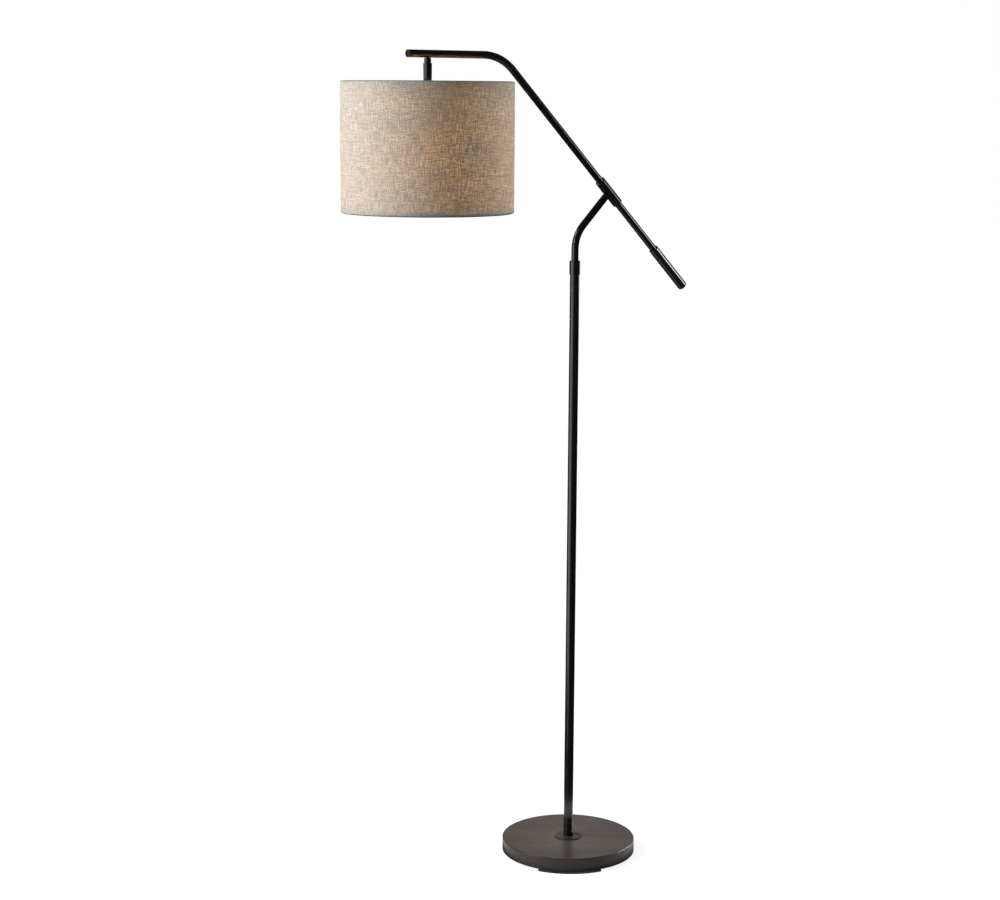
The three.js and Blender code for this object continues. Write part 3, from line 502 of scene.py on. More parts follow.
def rounded(corners, closed=True, steps=5):
    """An outline of (radius, height) points. A corner given as (radius, height, fillet) is rounded,
    with a point just before and just after the fillet that keep its neighbours evenly shaded."""
    outline = []
    count = len(corners)
    for i, corner in enumerate(corners):
        here = Vector(corner[:2])
        if len(corner) == 2 or (not closed and i in (0, count - 1)):
            outline.append(tuple(here))
            continue
        before = (Vector(corners[i - 1][:2]) - here).normalized()
        after = (Vector(corners[(i + 1) % count][:2]) - here).normalized()
        half = before.angle(after) / 2
        setback = corner[2] / math.tan(half)
        centre = here + (before + after).normalized() * (corner[2] / math.sin(half))
        start, end = here + before * setback - centre, here + after * setback - centre
        outline.append(tuple(centre + start + before * corner[2] * HOLD))
        turn = start.angle_signed(end)
        for k in range(steps + 1):
            outline.append(tuple(centre + Matrix.Rotation(-turn * k / steps, 2) @ start))
        outline.append(tuple(centre + end + after * corner[2] * HOLD))
    return outline


def arc(centre, radius, start, end, steps):
    """Points of an arc in an outline, angles in degrees from +radius towards +height."""
    angles = [math.radians(start + (end - start) * i / steps) for i in range(steps + 1)]
    return [(centre[0] + radius * math.cos(a), centre[1] + radius * math.sin(a)) for a in angles]


def lathe(outline, place=Matrix.Identity(4), sides=96, ring=False, span=None, shape=None):
    """A mesh turned about local Z. ring closes the outline, span turns it only between two angles,
    and shape(angle, radius, height) changes the radius."""
    built = bmesh.new()
    start, end = span or (0, FULL_TURN)
    columns = []
    centres = {}
    for i in range(sides + 1 if span else sides):
        angle = start + (end - start) * i / sides
        column = []
        for k, (radius, height) in enumerate(outline):
            if radius < ON_AXIS:
                if k not in centres:
                    centres[k] = built.verts.new((0, 0, height))
                column.append(centres[k])
                continue
            r = shape(angle, radius, height) if shape else radius
            column.append(built.verts.new((r * math.cos(angle), r * math.sin(angle), height)))
        columns.append(column)
    rows = range(len(outline) if ring else len(outline) - 1)
    for i in range(sides):
        here, there = columns[i], columns[(i + 1) % len(columns)]
        for k in rows:
            n = (k + 1) % len(outline)
            corners = list(dict.fromkeys((here[k], there[k], there[n], here[n])))
            if len(corners) > 2:
                built.faces.new(corners)
    if span:
        built.faces.new(columns[0])
        built.faces.new(columns[-1])
    bmesh.ops.recalc_face_normals(built, faces=built.faces)
    built.transform(place)
    return written(built)


def written(built):
    """The bmesh as a new mesh."""
    mesh = bpy.data.meshes.new("piece")
    built.to_mesh(mesh)
    built.free()
    return mesh


def joined(*meshes):
    """Several closed shells as one mesh."""
    built = bmesh.new()
    for mesh in meshes:
        built.from_mesh(mesh)
        bpy.data.meshes.remove(mesh)
    return written(built)


def boolean(mesh, tool, operation):
    """The mesh with another one added or cut away."""
    first, second = bpy.data.objects.new("first", mesh), bpy.data.objects.new("second", tool)
    for made in (first, second):
        bpy.context.scene.collection.objects.link(made)
    modifier = first.modifiers.new("solid", "BOOLEAN")
    modifier.object, modifier.operation, modifier.solver = second, operation, "EXACT"
    evaluated = first.evaluated_get(bpy.context.evaluated_depsgraph_get())
    result = bpy.data.meshes.new_from_object(evaluated)
    for made in (first, second):
        bpy.data.objects.remove(made)
    return result


def swept(stations, sections, sides=48):
    """A closed skin: each section is (station, radius), and the last one joins the first."""
    built = bmesh.new()
    angles = [FULL_TURN * i / sides for i in range(sides)]
    rings = []
    for station, radius in sections:
        point, tangent = stations[station]
        across = tangent.cross(Y)
        rings.append([
            built.verts.new(point + (Y * math.cos(a) + across * math.sin(a)) * radius)
            for a in angles
        ])
    for here, there in zip(rings, rings[1:] + rings[:1]):
        for i in range(sides):
            n = (i + 1) % sides
            built.faces.new((here[i], here[n], there[n], there[i]))
    bmesh.ops.recalc_face_normals(built, faces=built.faces)
    return written(built)


def bent_path(start, corner, end, radius, steps):
    """Stations (point, tangent) along a path that is straight except for one round bend. The close
    ones at the ends keep the long straight stretches evenly shaded."""
    inward, outward = (corner - start).normalized(), (end - corner).normalized()
    turn = inward.angle(outward)
    side = (outward - inward * outward.dot(inward)).normalized()
    first = corner - inward * radius * math.tan(turn / 2)
    stations = [(start + inward * along, inward) for along in END_RINGS]
    for i in range(steps + 1):
        a = turn * i / steps
        point = first + inward * radius * math.sin(a) + side * radius * (1 - math.cos(a))
        stations.append((point, inward * math.cos(a) + side * math.sin(a)))
    return stations + [(end - outward * along, outward) for along in reversed(END_RINGS)]


def bent_tube(stations, radius, wall, edge=0.35 * MM):
    """A hollow tube with slightly broken ends."""
    last = len(stations) - 1
    outside = [(i, radius) for i in range(1, last)]
    inside = [(i, radius - wall) for i in range(last, -1, -1)]
    return swept(stations, [(0, radius - edge), *outside, (last, radius - edge), *inside])


def plain_tube(inner, outer, low, high, edge):
    """The outline of a ring whose two outer edges are rounded."""
    return rounded([(inner, low), (outer, low, edge), (outer, high, edge), (inner, high)])


# ---- Base ----

TUBE_WALL = 1.3 * MM
GAP = 0.3 * MM  # clearance between pieces that fit together
inlet = sum(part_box("cord_grommet"), ORIGIN) / 2
cord_side = math.atan2(inlet.y, inlet.x)
cord_frame = Matrix.Rotation(cord_side, 4, "Z")


def make_base():
    """The spun cover, the disc at the pole's foot, and the grommet of the cord's inlet."""
    bottom, top = (corner.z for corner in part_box("base_shell"))
    radius = girth("base_shell", ORIGIN, UP)
    wall, edge, bore = 1.6 * MM, 1.8 * MM, 5.3 * MM
    shell = lathe(rounded([
        (radius - wall, bottom), (radius, bottom, 0.4 * MM), (radius, top, edge), (bore, top),
        (bore, top - wall), (radius - wall, top - wall),
    ], steps=8), sides=240, ring=True)
    radial = cord_frame @ Matrix.Translation((0, 0, inlet.z)) @ Matrix.Rotation(math.pi / 2, 4, "Y")
    inside, outside = radius - 10 * MM, radius + 10 * MM
    hole = lathe([(0, inside), (bore, inside), (bore, outside), (0, outside)], radial, 48)
    piece("base_cover", boolean(shell, hole, "DIFFERENCE"), "base_shell")

    low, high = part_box("base_flange")
    outer = girth("base_flange", ORIGIN, UP)
    piece("foot_plate", lathe(rounded([
        (bore, low.z), (outer - 1.2 * MM, low.z, 0.2 * MM), (outer, high.z - 0.5 * MM),
        (outer, high.z, 0.3 * MM), (bore, high.z),
    ]), sides=144, ring=True), "base_flange")

    # A grommet about the radial axis through the hole.
    lip, waist, cable, thick = 7 * MM, 5 * MM, 3.4 * MM, 1.4 * MM
    inner, outer = radius - wall - 2 * GAP, radius + GAP
    grommet = lathe(rounded([
        (cable, inner - thick, 0.4 * MM), (lip, inner - thick, 0.4 * MM), (lip, inner),
        (waist, inner), (waist, outer), (lip, outer, 0.1 * MM),
        (lip - 0.4 * MM, outer + thick, 0.6 * MM), (cable, outer + thick, 0.5 * MM),
    ]), radial, 48, ring=True)
    piece("inlet_grommet", grommet, "cord_grommet")


make_base()


def make_feet():
    """Rubber arcs under the rim, with fine grooves in the tread."""
    low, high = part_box("rim_foot_1")
    outer = girth("rim_foot_1", ORIGIN, UP)
    inner, tongue = 121 * MM, 128.2 * MM
    tread, groove, margin = 5.1 * MM, 0.35 * MM, 1.2 * MM
    grooves = []
    count = 4
    pitch = (outer - inner - 2 * margin) / count
    for i in range(count):
        r = inner + margin + pitch * i
        grooves += [
            (r + pitch * 0.55, low.z), (r + pitch * 0.6, low.z + groove),
            (r + pitch * 0.95, low.z + groove), (r + pitch, low.z),
        ]
    outline = rounded([
        (inner, low.z, 0.6 * MM), *grooves, (outer, low.z, 0.6 * MM), (outer, tread, 0.5 * MM),
        (tongue, tread), (tongue, high.z), (inner, high.z),
    ])
    half = math.radians(28)
    for number, from_inlet in ((1, 180), (2, 60), (3, -60)):
        centre = cord_side + math.radians(from_inlet)
        mesh = lathe(outline, sides=36, ring=True, span=(centre - half, centre + half))
        piece(f"rim_pad_{number}", mesh, f"rim_foot_{number}")


make_feet()


def make_nut_cover():
    """A rubber cup over the clamping nut, with grip rings below and a slot for the cord."""
    low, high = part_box("nut_cover_pad")
    radius = girth("nut_cover_pad", ORIGIN, UP)
    inside, floor, groove = radius - 5 * MM, 3 * MM, 0.5 * MM
    rings = []
    for i in range(4):
        r = radius * (0.9 - 0.2 * i)
        rings += [
            (r - 1.6 * MM, low.z), (r - 1.2 * MM, low.z + groove),
            (r - 0.4 * MM, low.z + groove), (r, low.z),
        ]
    rings.sort()
    cup = lathe(rounded([
        (0, low.z), *rings, (radius, low.z, 0.8 * MM), (radius, high.z, 0.4 * MM),
        (inside, high.z), (inside, floor, 0.6 * MM), (0, floor),
    ], closed=False), sides=96)
    slot = cord_frame @ Matrix.Translation((radius, 0, floor + high.z / 2))
    slot = slot @ Matrix.Diagonal((15 * MM, 12 * MM, high.z, 1))
    built = bmesh.new()
    bmesh.ops.create_cube(built, size=1, matrix=slot)
    piece("nut_cup", boolean(cup, written(built), "DIFFERENCE"), "nut_cover_pad")


make_nut_cover()

# ---- Pole and neck ----


def make_pole():
    """Two lengths of tube, and the collar on top."""
    radius = girth("pole_lower", ORIGIN, UP)
    for name, node in (("lower_pole", "pole_lower"), ("upper_pole", "pole_upper")):
        low, high = reach(node, ORIGIN, UP)
        mesh = lathe(plain_tube(radius - 1 * MM, radius, low, high, 0.3 * MM), sides=64, ring=True)
        piece(name, mesh, node)

    low, high = reach("pole_collar", ORIGIN, UP)
    outer = girth("pole_collar", ORIGIN, UP)
    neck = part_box("bent_tube")[1].y
    over_pole, around_neck, lip = radius + GAP, neck + GAP, 5.7 * MM
    piece("collar", lathe(rounded([
        (over_pole, low), (outer, low, 0.5 * MM), (outer, high, 0.8 * MM),
        (around_neck, high, 0.2 * MM), (around_neck, high - lip), (over_pole, high - lip),
    ]), sides=64, ring=True), "pole_collar")


make_pole()


def make_neck():
    """The thin tube that bends 45 degrees towards the sleeve."""
    low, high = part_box("bent_tube")
    corner = UP * (sleeve_centre.z - sleeve_centre.x)
    end = sleeve_centre + swivel_axis * reach("bent_tube", sleeve_centre, swivel_axis)[1]
    path = bent_path(UP * low.z, corner, end, 65 * MM, 40)
    piece("neck_tube", bent_tube(path, high.y, TUBE_WALL), "bent_tube")


make_neck()

# ---- Sleeve ----


def make_sleeve():
    """The sleeve that the arm slides in, in one with the hollow stem that it swivels on."""
    low, high = reach("arm_sleeve", sleeve_centre, arm_axis)
    outer = 10 * MM
    inner = outer - 1 * MM
    along = axis_frame(sleeve_centre, arm_axis, swivel_axis)
    across = axis_frame(sleeve_centre, swivel_axis, arm_axis)
    stem_end = reach("arm_sleeve", sleeve_centre, swivel_axis)[0]
    bush_top = reach("swivel_bush", sleeve_centre, swivel_axis)[1]
    stem, boss, wireway = 4 * MM, 6.6 * MM, 2.6 * MM
    foot, into_body = bush_top + GAP, -5 * MM
    body = lathe(rounded([
        (0, low), (outer, low, 2.0 * MM), (outer, high, 0.8 * MM), (0, high),
    ], closed=False, steps=7), along, 96)
    post = lathe([
        (0, stem_end), (stem, stem_end), (stem, foot), (boss, foot), (boss, into_body),
        (0, into_body),
    ], across, 64)
    body = boolean(body, post, "UNION")
    end = 1.2 * (high - low)
    bore = lathe([(0, -end), (inner, -end), (inner, end), (0, end)], along, 96)
    body = boolean(body, bore, "DIFFERENCE")
    end = stem_end - 5 * MM
    wire = lathe([(0, end), (wireway, end), (wireway, 0), (0, 0)], across, 32)
    piece("arm_slider", boolean(body, wire, "DIFFERENCE"), "arm_sleeve")


make_sleeve()

# ---- Arm and counterweight ----


def make_arm():
    """The bent arm, the plug in its free end, and the counterweight."""
    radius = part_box("arm_tube")[1].y
    low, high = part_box("arm_end_plug")
    height = (low.z + high.z) / 2
    corner = Vector((sleeve_centre.x - (height - sleeve_centre.z), 0, height))
    start = sleeve_centre + arm_axis * reach("arm_tube", sleeve_centre, arm_axis)[0]
    end = Vector((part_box("arm_tube")[0].x, 0, height))
    path = bent_path(start, corner, end, 94 * MM, 48)
    piece("arm_pipe", bent_tube(path, radius, TUBE_WALL), "arm_tube")

    # The plug's face has a shallow ring pressed around its centre.
    depth, face = reach("arm_end_plug", end, -X)
    head = face - 2.5 * MM
    spigot = radius - TUBE_WALL - GAP
    pressed = face - 0.6 * MM
    groove = [(4.5 * MM, face), (4.2 * MM, pressed), (3.5 * MM, pressed), (3.2 * MM, face)]
    piece("arm_stopper", lathe(rounded([
        (0, depth), (spigot, depth), (spigot, head), (radius, head, 0.2 * MM),
        (radius, face, 1.1 * MM), *groove, (0, face),
    ], closed=False), axis_frame(end, -X, Y), 64), "arm_end_plug")

    far, near = reach("counterweight", sleeve_centre, arm_axis)
    outer = girth("counterweight", sleeve_centre, arm_axis)
    hole, thread = radius + GAP, 3.3 * MM
    socket, bottom = near - 12 * MM, near - 26.3 * MM
    piece("balance_weight", lathe(rounded([
        (0, far), (outer, far, 1.2 * MM), (outer, near, 0.7 * MM), (hole, near, 0.2 * MM),
        (hole, socket), (thread, socket), (thread, bottom), (0, bottom),
    ], closed=False, steps=6), axis_frame(sleeve_centre, arm_axis, Y), 72), "counterweight")


make_arm()

# ---- Ball joint and socket cover ----

head_frame = Matrix.Translation(ball_centre)


def make_ball_joint():
    """The barrel that holds the ball, and the tapered cover tube below it."""
    high = reach("ball_housing", ball_centre, UP)[1]
    barrel, collar, cavity = girth("ball_housing", ball_centre, UP), 6.3 * MM, 5 * MM
    top, stem, wire = 6.6 * MM, 3.2 * MM, 1.6 * MM
    shoulder = math.degrees(math.acos(collar / barrel))
    roof = 90 - math.degrees(math.asin(wire / cavity))
    mouth = -48
    outside = rounded([
        (collar, top - 2 * MM), (collar, top, 0.5 * MM), (stem, top), (stem, high),
    ], closed=False)
    piece("ball_barrel", lathe([
        *arc((0, 0), barrel, mouth, shoulder, 14), *outside, (wire, high),
        *arc((0, 0), cavity, roof, mouth, 16),
    ], head_frame, 64, ring=True), "ball_housing")

    bottom, top = reach("socket_cover", ball_centre, UP)
    wide, narrow = girth("socket_cover", ball_centre, UP), 7.5 * MM
    seat, bore, stem = barrel + 1.2 * MM, 6 * MM, 2 * MM
    mouth = math.degrees(math.asin(-top / seat))
    inside = arc((0, 0), seat, -mouth - 3, -68, 10)
    outside = rounded([
        (bore, bottom), (narrow, bottom, 0.3 * MM), (wide, top, 0.45 * MM), inside[0],
    ], closed=False)
    piece("cover_sleeve", lathe([
        *outside, *inside[1:], (3 * MM, -12 * MM), (stem, -14 * MM), (stem, -18 * MM),
        (bore, -18 * MM),
    ], head_frame, 64, ring=True), "socket_cover")


make_ball_joint()

# ---- Lamp holder and bulb ----


def make_holder():
    """The lamp holder's cap and shell, and the turn knob of its switch."""
    bottom, top = reach("socket_cap", ball_centre, UP)
    outer = girth("socket_cap", ball_centre, UP)
    hole, wall, roof = 5.3 * MM, 1.4 * MM, top - 3 * MM
    piece("holder_cap", lathe(rounded([
        (outer - wall, bottom), (outer, bottom, 0.4 * MM), (outer, top, 5.5 * MM), (hole, top),
        (hole, roof), (outer - 5 * MM, roof), (outer - wall, top - 6.5 * MM),
    ], steps=8), head_frame, 96, ring=True), "socket_cap")

    bottom, top = reach("socket_shell", ball_centre, UP)
    bore = 14.4 * MM
    waist = outer - 0.6 * MM
    grooves = []
    for i in range(3):
        h = bottom + (6 + 3.2 * i) * MM
        grooves += [(outer, h), (waist, h + 0.5 * MM), (waist, h + 1.1 * MM), (outer, h + 1.6 * MM)]
    shell = lathe(rounded([
        (bore, bottom, 0.4 * MM), (outer, bottom, 0.9 * MM), *grooves, (outer, top, 0.4 * MM),
        (bore, top),
    ]), head_frame, 96, ring=True)
    axis_point = Vector((ball_centre.x, 0, knob_centre.z))
    knob_frame = axis_frame(axis_point, -X, Y)
    stem = 1.8 * MM
    hole, depth = stem + GAP, 30 * MM
    drill = lathe([(0, 0), (hole, 0), (hole, depth), (0, depth)], knob_frame, 32)
    piece("holder_shell", boolean(shell, drill, "DIFFERENCE"), "socket_shell")

    # The turn knob: a stem, and a barrel with flutes for the fingers.
    inner, end = reach("switch_knob", axis_point, -X)
    radius = girth("switch_knob", axis_point, X)
    start = end - 16 * MM
    flutes, flute_depth, plain_end = 14, 0.35 * MM, 1.5 * MM

    def fluted(angle, r, height):
        if start + plain_end < height < end - plain_end and r > 3 * MM:
            return r - flute_depth * (0.5 - 0.5 * math.cos(flutes * angle))
        return r

    outline = rounded([
        (0, inner), (stem, inner), (stem, start), (radius, start, 0.6 * MM),
        (radius, start + 1.6 * MM), (radius - 0.2 * MM, start + 2.2 * MM),
        (radius - 0.5 * MM, end - 2.2 * MM), (radius - 0.4 * MM, end - 1.4 * MM),
        (radius - 0.5 * MM, end, 0.7 * MM), (0, end),
    ], closed=False)
    piece("turn_knob", lathe(outline, knob_frame, 112, shape=fluted), "switch_knob")


make_holder()


def make_bulb():
    """A screw cap and a pear shaped globe, hanging."""
    bottom, top = reach("bulb_base", ball_centre, UP)
    radius = girth("bulb_base", ball_centre, UP)
    pitch, groove = 3.6 * MM, 1.0 * MM
    thread_low, thread_high = bottom + 3 * MM, top - 7.5 * MM

    def threaded(angle, r, height):
        """A rolled thread, faded out at both ends."""
        fade = min((height - thread_low) / pitch, (thread_high - height) / pitch)
        fade = min(1, max(0, fade))
        if r < radius - 0.1 * MM:
            return r
        return r - groove * fade * (0.5 - 0.5 * math.cos(FULL_TURN * height / pitch - angle))

    steps = 48
    length = thread_high + 1 * MM - bottom
    side = [(radius, bottom + length * i / steps) for i in range(steps + 1)]
    piece("bulb_cap", lathe([
        (0, bottom), *side, (radius - 0.6 * MM, top - 6 * MM), (6.5 * MM, top - 2 * MM),
        (4 * MM, top - 1.4 * MM), (3.4 * MM, top - 0.3 * MM), (0, top),
    ], head_frame, 64, shape=threaded), "bulb_base")

    bottom, top = reach("bulb_glass", ball_centre, UP)
    radius = girth("bulb_glass", ball_centre, UP)
    neck = 12.5 * MM
    centre = bottom + radius
    # The flank is a Bezier curve from where the ball ends, tangent to it, to the neck.
    leaves_at = 35
    globe = arc((0, centre), radius, -90, leaves_at, 24)
    shoulder = Vector(globe[-1])
    tangent = Vector((centre - shoulder.y, shoulder.x)).normalized()
    handles = [
        shoulder, shoulder + tangent * 12 * MM, Vector((neck, top - 14 * MM)), Vector((neck, top)),
    ]
    flank = []
    steps = 14
    for i in range(1, steps + 1):
        t = i / steps
        weights = ((1 - t) ** 3, 3 * t * (1 - t) ** 2, 3 * t * t * (1 - t), t ** 3)
        flank.append(tuple(sum((w * p for w, p in zip(weights, handles)), Vector((0, 0)))))
    outline = [(0, bottom), *globe[1:], *flank, (0, top)]
    piece("bulb_globe", lathe(outline, head_frame, 64), "bulb_glass")


make_bulb()

# ---- Shade ----

RING_RADIUS = 155 * MM
RING_WIRE = 1.96 * MM  # radius of the rings' wire
SPOKE_WIRE = 1.8 * MM
OVERLAP = 12 * MM
SHADE_SIDES = 288


def wire_ring(height):
    """A ring of the shade's frame at a height over the ball's centre."""
    sides = 16
    outline = arc((RING_RADIUS, height), RING_WIRE, 0, 360 - 360 / sides, sides - 1)
    return lathe(outline, head_frame, 144, ring=True)


def make_frame():
    """The spider with its three spokes and top ring, and the bottom ring."""
    hub_bottom, ring_top = reach("shade_spider", ball_centre, UP)
    ring_height = ring_top - 1.74 * MM
    hub_bore, hub_radius, hub_top = 5.3 * MM, 15 * MM, hub_bottom + 3 * MM
    hub = lathe(rounded([
        (hub_bore, hub_bottom), (hub_radius, hub_bottom, 0.6 * MM),
        (hub_radius, hub_top, 0.6 * MM), (hub_bore, hub_top),
    ]), head_frame, 72, ring=True)
    parts = [wire_ring(ring_height), hub]
    for i in range(3):
        out = Matrix.Rotation(math.pi / 2 + FULL_TURN * i / 3, 3, "Z") @ X
        start = ball_centre + out * 9 * MM + UP * (hub_top - 1 * MM)
        end = ball_centre + out * RING_RADIUS + UP * ring_height
        length = (end - start).length
        # Each spoke swells where it is welded to the ring.
        parts.append(lathe([
            (0, 0), (SPOKE_WIRE, 0), (SPOKE_WIRE, length - 4 * MM),
            (SPOKE_WIRE * 1.25, length - 2 * MM), (SPOKE_WIRE, length), (0, length),
        ], axis_frame(start, end - start, UP), 20))
    piece("spider", joined(*parts), "shade_spider")
    low, high = reach("bottom_ring", ball_centre, UP)
    piece("hoop", wire_ring((low + high) / 2), "bottom_ring")


make_frame()


def make_liner():
    """The film inside the cloth, cut a little short of the rolled edges."""
    bottom, top = reach("shade_liner", ball_centre, UP)
    outer = girth("shade_liner", ball_centre, UP)
    inner, trim = outer - 0.8 * MM, 1.7 * MM
    piece("film", lathe([
        (inner, bottom + trim), (outer, bottom + trim), (outer, top - trim), (inner, top - trim),
    ], head_frame, 192, ring=True), "shade_liner")


make_liner()


def make_cloth():
    """One strip of cloth round the drum, lapped at the back and rolled round both wire rings."""
    bottom, top = reach("shade_fabric", ball_centre, UP)
    radius = girth("shade_fabric", ball_centre, UP) - CLOTH / 2
    low = (radius - ROLL, bottom + ROLL + CLOTH / 2)
    high = (radius - ROLL, top - ROLL - CLOTH / 2)
    # The line through the middle of the cloth: a roll, the wall, and the other roll.
    rise, bend = 24, 22
    middle = arc(low, ROLL, 360 - ROLL_ARC, 360, bend)
    middle += [(radius, low[1] + (high[1] - low[1]) * i / rise) for i in range(1, rise)]
    middle += arc(high, ROLL, 0, ROLL_ARC, bend)
    places = [0.0]
    for a, b in zip(middle, middle[1:]):
        places.append(places[-1] + math.dist(a, b))
    normals = []
    for i in range(len(middle)):
        a, b = middle[max(0, i - 1)], middle[min(len(middle) - 1, i + 1)]
        along = Vector((b[0] - a[0], b[1] - a[1])).normalized()
        normals.append(Vector((along.y, -along.x)))
    outline = [Vector(p) + n * CLOTH / 2 for p, n in zip(middle, normals)]
    outline += [Vector(p) - n * CLOTH / 2 for p, n in zip(reversed(middle), reversed(normals))]
    heights = places + places[::-1]

    # Round the drum once and on over the start, lifted there by the cloth's thickness.
    ramp = 4 * MM / radius
    whole = FULL_TURN + OVERLAP / radius
    length = radius * whole
    built = bmesh.new()
    flat = built.loops.layers.uv.new("cloth")

    def quad(corners, spots):
        """A face, and where its corners are in the flat cloth."""
        face = built.faces.new(corners)
        for loop, spot in zip(face.loops, spots):
            loop[flat].uv = spot

    columns = []
    for i in range(SHADE_SIDES + 1):
        turned = whole * i / SHADE_SIDES
        share = min(1, max(0, (turned - (FULL_TURN - ramp)) / ramp))
        lift = (CLOTH + 0.15 * MM) * share * share * (3 - 2 * share)
        angle = cord_side + turned
        out = Vector((math.cos(angle), math.sin(angle), 0))
        columns.append([
            built.verts.new(ball_centre + out * (p.x + lift) + UP * p.y) for p in outline
        ])
    count = len(outline)
    for i in range(SHADE_SIDES):
        here, there = columns[i], columns[i + 1]
        a, b = (length * k / SHADE_SIDES for k in (i, i + 1))
        for k in range(count):
            n = (k + 1) % count
            quad(
                (here[k], there[k], there[n], here[n]),
                ((a, heights[k]), (b, heights[k]), (b, heights[n]), (a, heights[n])),
            )
    # The two cut ends, closed along the cloth's thickness.
    for column, a in ((columns[0], 0.0), (columns[-1], length)):
        for k in range(len(middle) - 1):
            here, there = (a, places[k]), (a, places[k + 1])
            quad(
                (column[k], column[k + 1], column[count - 2 - k], column[count - 1 - k]),
                (here, there, there, here),
            )
    bmesh.ops.recalc_face_normals(built, faces=built.faces)
    cloth = piece("linen_drum", written(built), "shade_fabric")


make_cloth()

# ---- Stage ----

# The floor's rings: name, inner and outer radius. Only one is seen in the gloss of the pieces.
FLOOR_RINGS = (("floor_under", 0, 0.16), ("floor_near", 0.16, 0.32), ("floor", 0.32, 60))
MIRRORED_RING = "floor_near"


def make_floor():
    """A pale floor that fades to white, with a faint shadow of the base. It lights nothing, but
    the part around the base shows in the base's gloss. From below it is clear, so the underside
    shows."""
    f = Finish(
        "pale_floor", (0.5, 0.5, 0.5),
        roughness=0.9, specular_ior_level=0.1, emission_strength=1.0,
    )
    away = f.node("ShaderNodeVectorMath", {0: f.coords()}, operation="LENGTH").outputs["Value"]
    cloud = f.noise(f.coords(), 2, 2.0, 0.5, -0.03, 0.03)
    fade = f.spread(f.math("ADD", away, cloud), 0.13, 0.23, 0, 1)
    f.feed(f.shader.inputs["Emission Color"], f.mix(fade, (0.85, 0.85, 0.85), (1, 1, 1)))
    f.color(f.mix(fade, (0.55, 0.55, 0.55), (0.2, 0.2, 0.2)))
    below = f.node("ShaderNodeNewGeometry").outputs["Backfacing"]
    clear = f.node("ShaderNodeBsdfTransparent")
    f.surface(below, f.shader.outputs[0], clear.outputs[0])
    for name, inner, outer in FLOOR_RINGS:
        floor = bpy.data.objects.new(name, lathe([(inner, 0), (outer, 0)], sides=96))
        bpy.context.scene.collection.objects.link(floor)
        if floor.data.polygons[0].normal.z < 0:
            floor.data.flip_normals()
        floor.data.materials.append(f.material)
        floor.visible_diffuse = floor.visible_transmission = False
        floor.visible_glossy = name == MIRRORED_RING


def make_light(name, azimuth, elevation, distance, width, height, power, aim, only=()):
    """A panel that shines on aim. Where pieces are named, it lights and is blocked by those
    alone."""
    data = bpy.data.lights.new(name, "AREA")
    data.shape = "RECTANGLE"
    data.size, data.size_y, data.energy = width, height, power
    light = bpy.data.objects.new(name, data)
    bpy.context.scene.collection.objects.link(light)
    out = towards(azimuth, elevation)
    light.location = aim + out * distance
    light.rotation_mode = "QUATERNION"
    light.rotation_quaternion = out.to_track_quat("Z", "Y")
    light.visible_camera = False
    if only:
        lit = bpy.data.collections.new(name)
        for made in only:
            lit.objects.link(bpy.data.objects[made])
        light.light_linking.receiver_collection = lit
        light.light_linking.blocker_collection = lit


def make_glow():
    """The part of the bulb's light that its frosted end throws down the drum."""
    data = bpy.data.lights.new("bulb_glow", "POINT")
    data.energy, data.shadow_soft_size, data.color = 1.3, 20 * MM, BULB_TINT
    light = bpy.data.objects.new("bulb_glow", data)
    bpy.context.scene.collection.objects.link(light)
    light.location = (ball_centre.x, ball_centre.y, cloth_low.z + 50 * MM)
    light.visible_camera = False


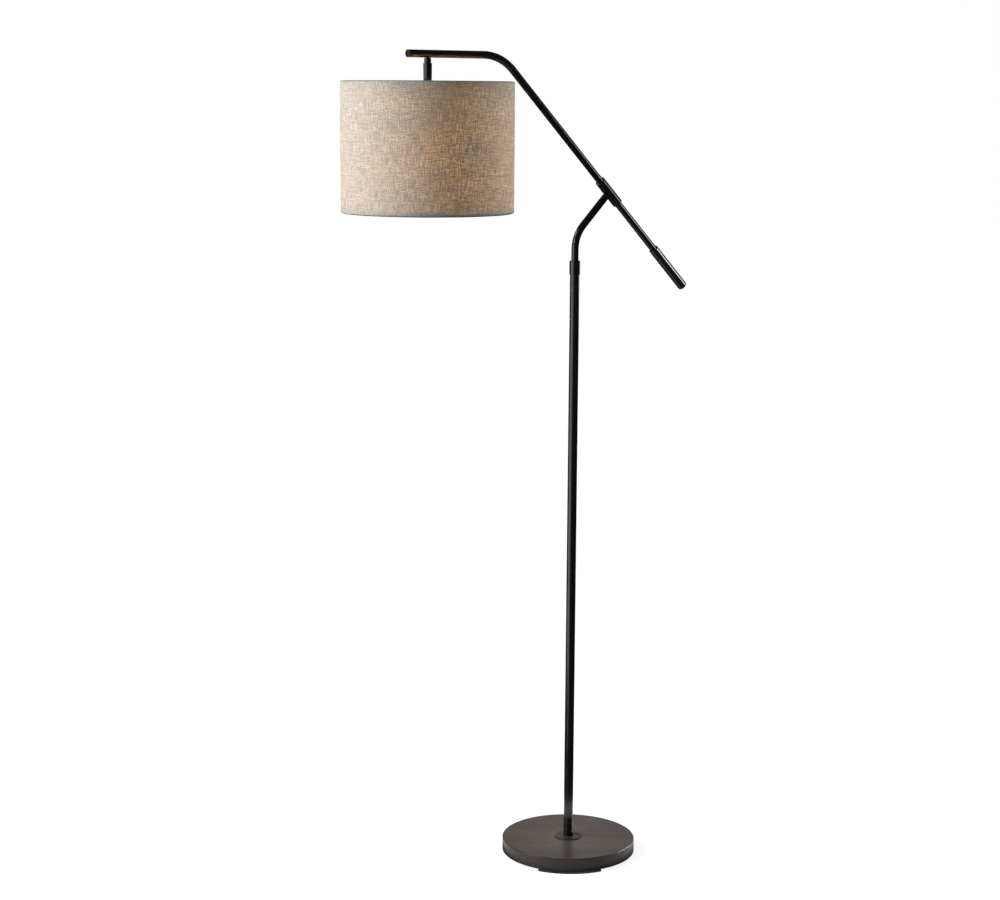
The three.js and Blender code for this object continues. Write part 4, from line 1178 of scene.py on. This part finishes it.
def make_world():
    """White behind the object, and only a little light from all round it."""
    world = bpy.data.worlds.new("studio")
    bpy.context.scene.world = world
    world.use_nodes = True
    tree = world.node_tree
    background = tree.nodes["Background"]
    background.inputs["Color"].default_value = (0.06, 0.06, 0.06, 1)
    white = tree.nodes.new("ShaderNodeBackground")
    white.inputs["Color"].default_value = (1, 1, 1, 1)
    seen = tree.nodes.new("ShaderNodeLightPath")
    choice = tree.nodes.new("ShaderNodeMixShader")
    tree.links.new(seen.outputs["Is Camera Ray"], choice.inputs[0])
    tree.links.new(background.outputs[0], choice.inputs[1])
    tree.links.new(white.outputs[0], choice.inputs[2])
    tree.links.new(choice.outputs[0], tree.nodes["World Output"].inputs["Surface"])


def make_lights():
    """Angles in degrees from the camera's side, sizes in metres, power in watts. A light on the
    right is mirrored in the edge of every tube, so those shine on named pieces only."""
    middle = (cad_box[0] + cad_box[1]) / 2
    shade = sum(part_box("shade_fabric"), ORIGIN) / 2
    drum = ("linen_drum", "film", "spider", "hoop")
    pole = ("collar", "upper_pole", "lower_pole")
    underside = ("base_weight", "base_nut", "nut_cup", "rim_pad_1", "rim_pad_2", "rim_pad_3")
    # name, azimuth, elevation, distance, width, height, power, aim, pieces
    make_light("key", -73, 6, 2.6, 1.75, 3.0, 44, middle)
    make_light("strip", -40, 2, 2.6, 0.9, 3.0, 18, middle)
    make_light("high_left", -84, 34, 2.4, 1.4, 0.8, 50, shade)
    make_light("back", 180, 20, 6.0, 3.2, 0.9, 7, ORIGIN)
    make_light("right", 108, 20, 2.4, 1.2, 0.76, 44, shade, drum)
    make_light("low_right", 126, 24, 2.6, 0.9, 0.35, 3, ORIGIN, pole)
    make_light("rim", 121, 26, 2.6, 1.4, 0.5, 85, ORIGIN, ("base_cover",))
    make_light("glint", 90, 5.5, 2.6, 0.9, 0.55, 14, sleeve_centre, ("arm_pipe",))
    make_light("glint_mid", 93, 4.5, 2.6, 0.9, 0.55, 12, sleeve_centre, ("arm_slider",))
    make_light("glint_low", 93, 4.5, 2.6, 0.9, 0.55, 27, sleeve_centre, ("balance_weight",))
    make_light("under", 30, -70, 2.4, 1.6, 1.6, 90, ORIGIN, underside)
    make_glow()


make_floor()
make_lights()
make_world()
bpy.context.scene.view_settings.view_transform = "Standard"
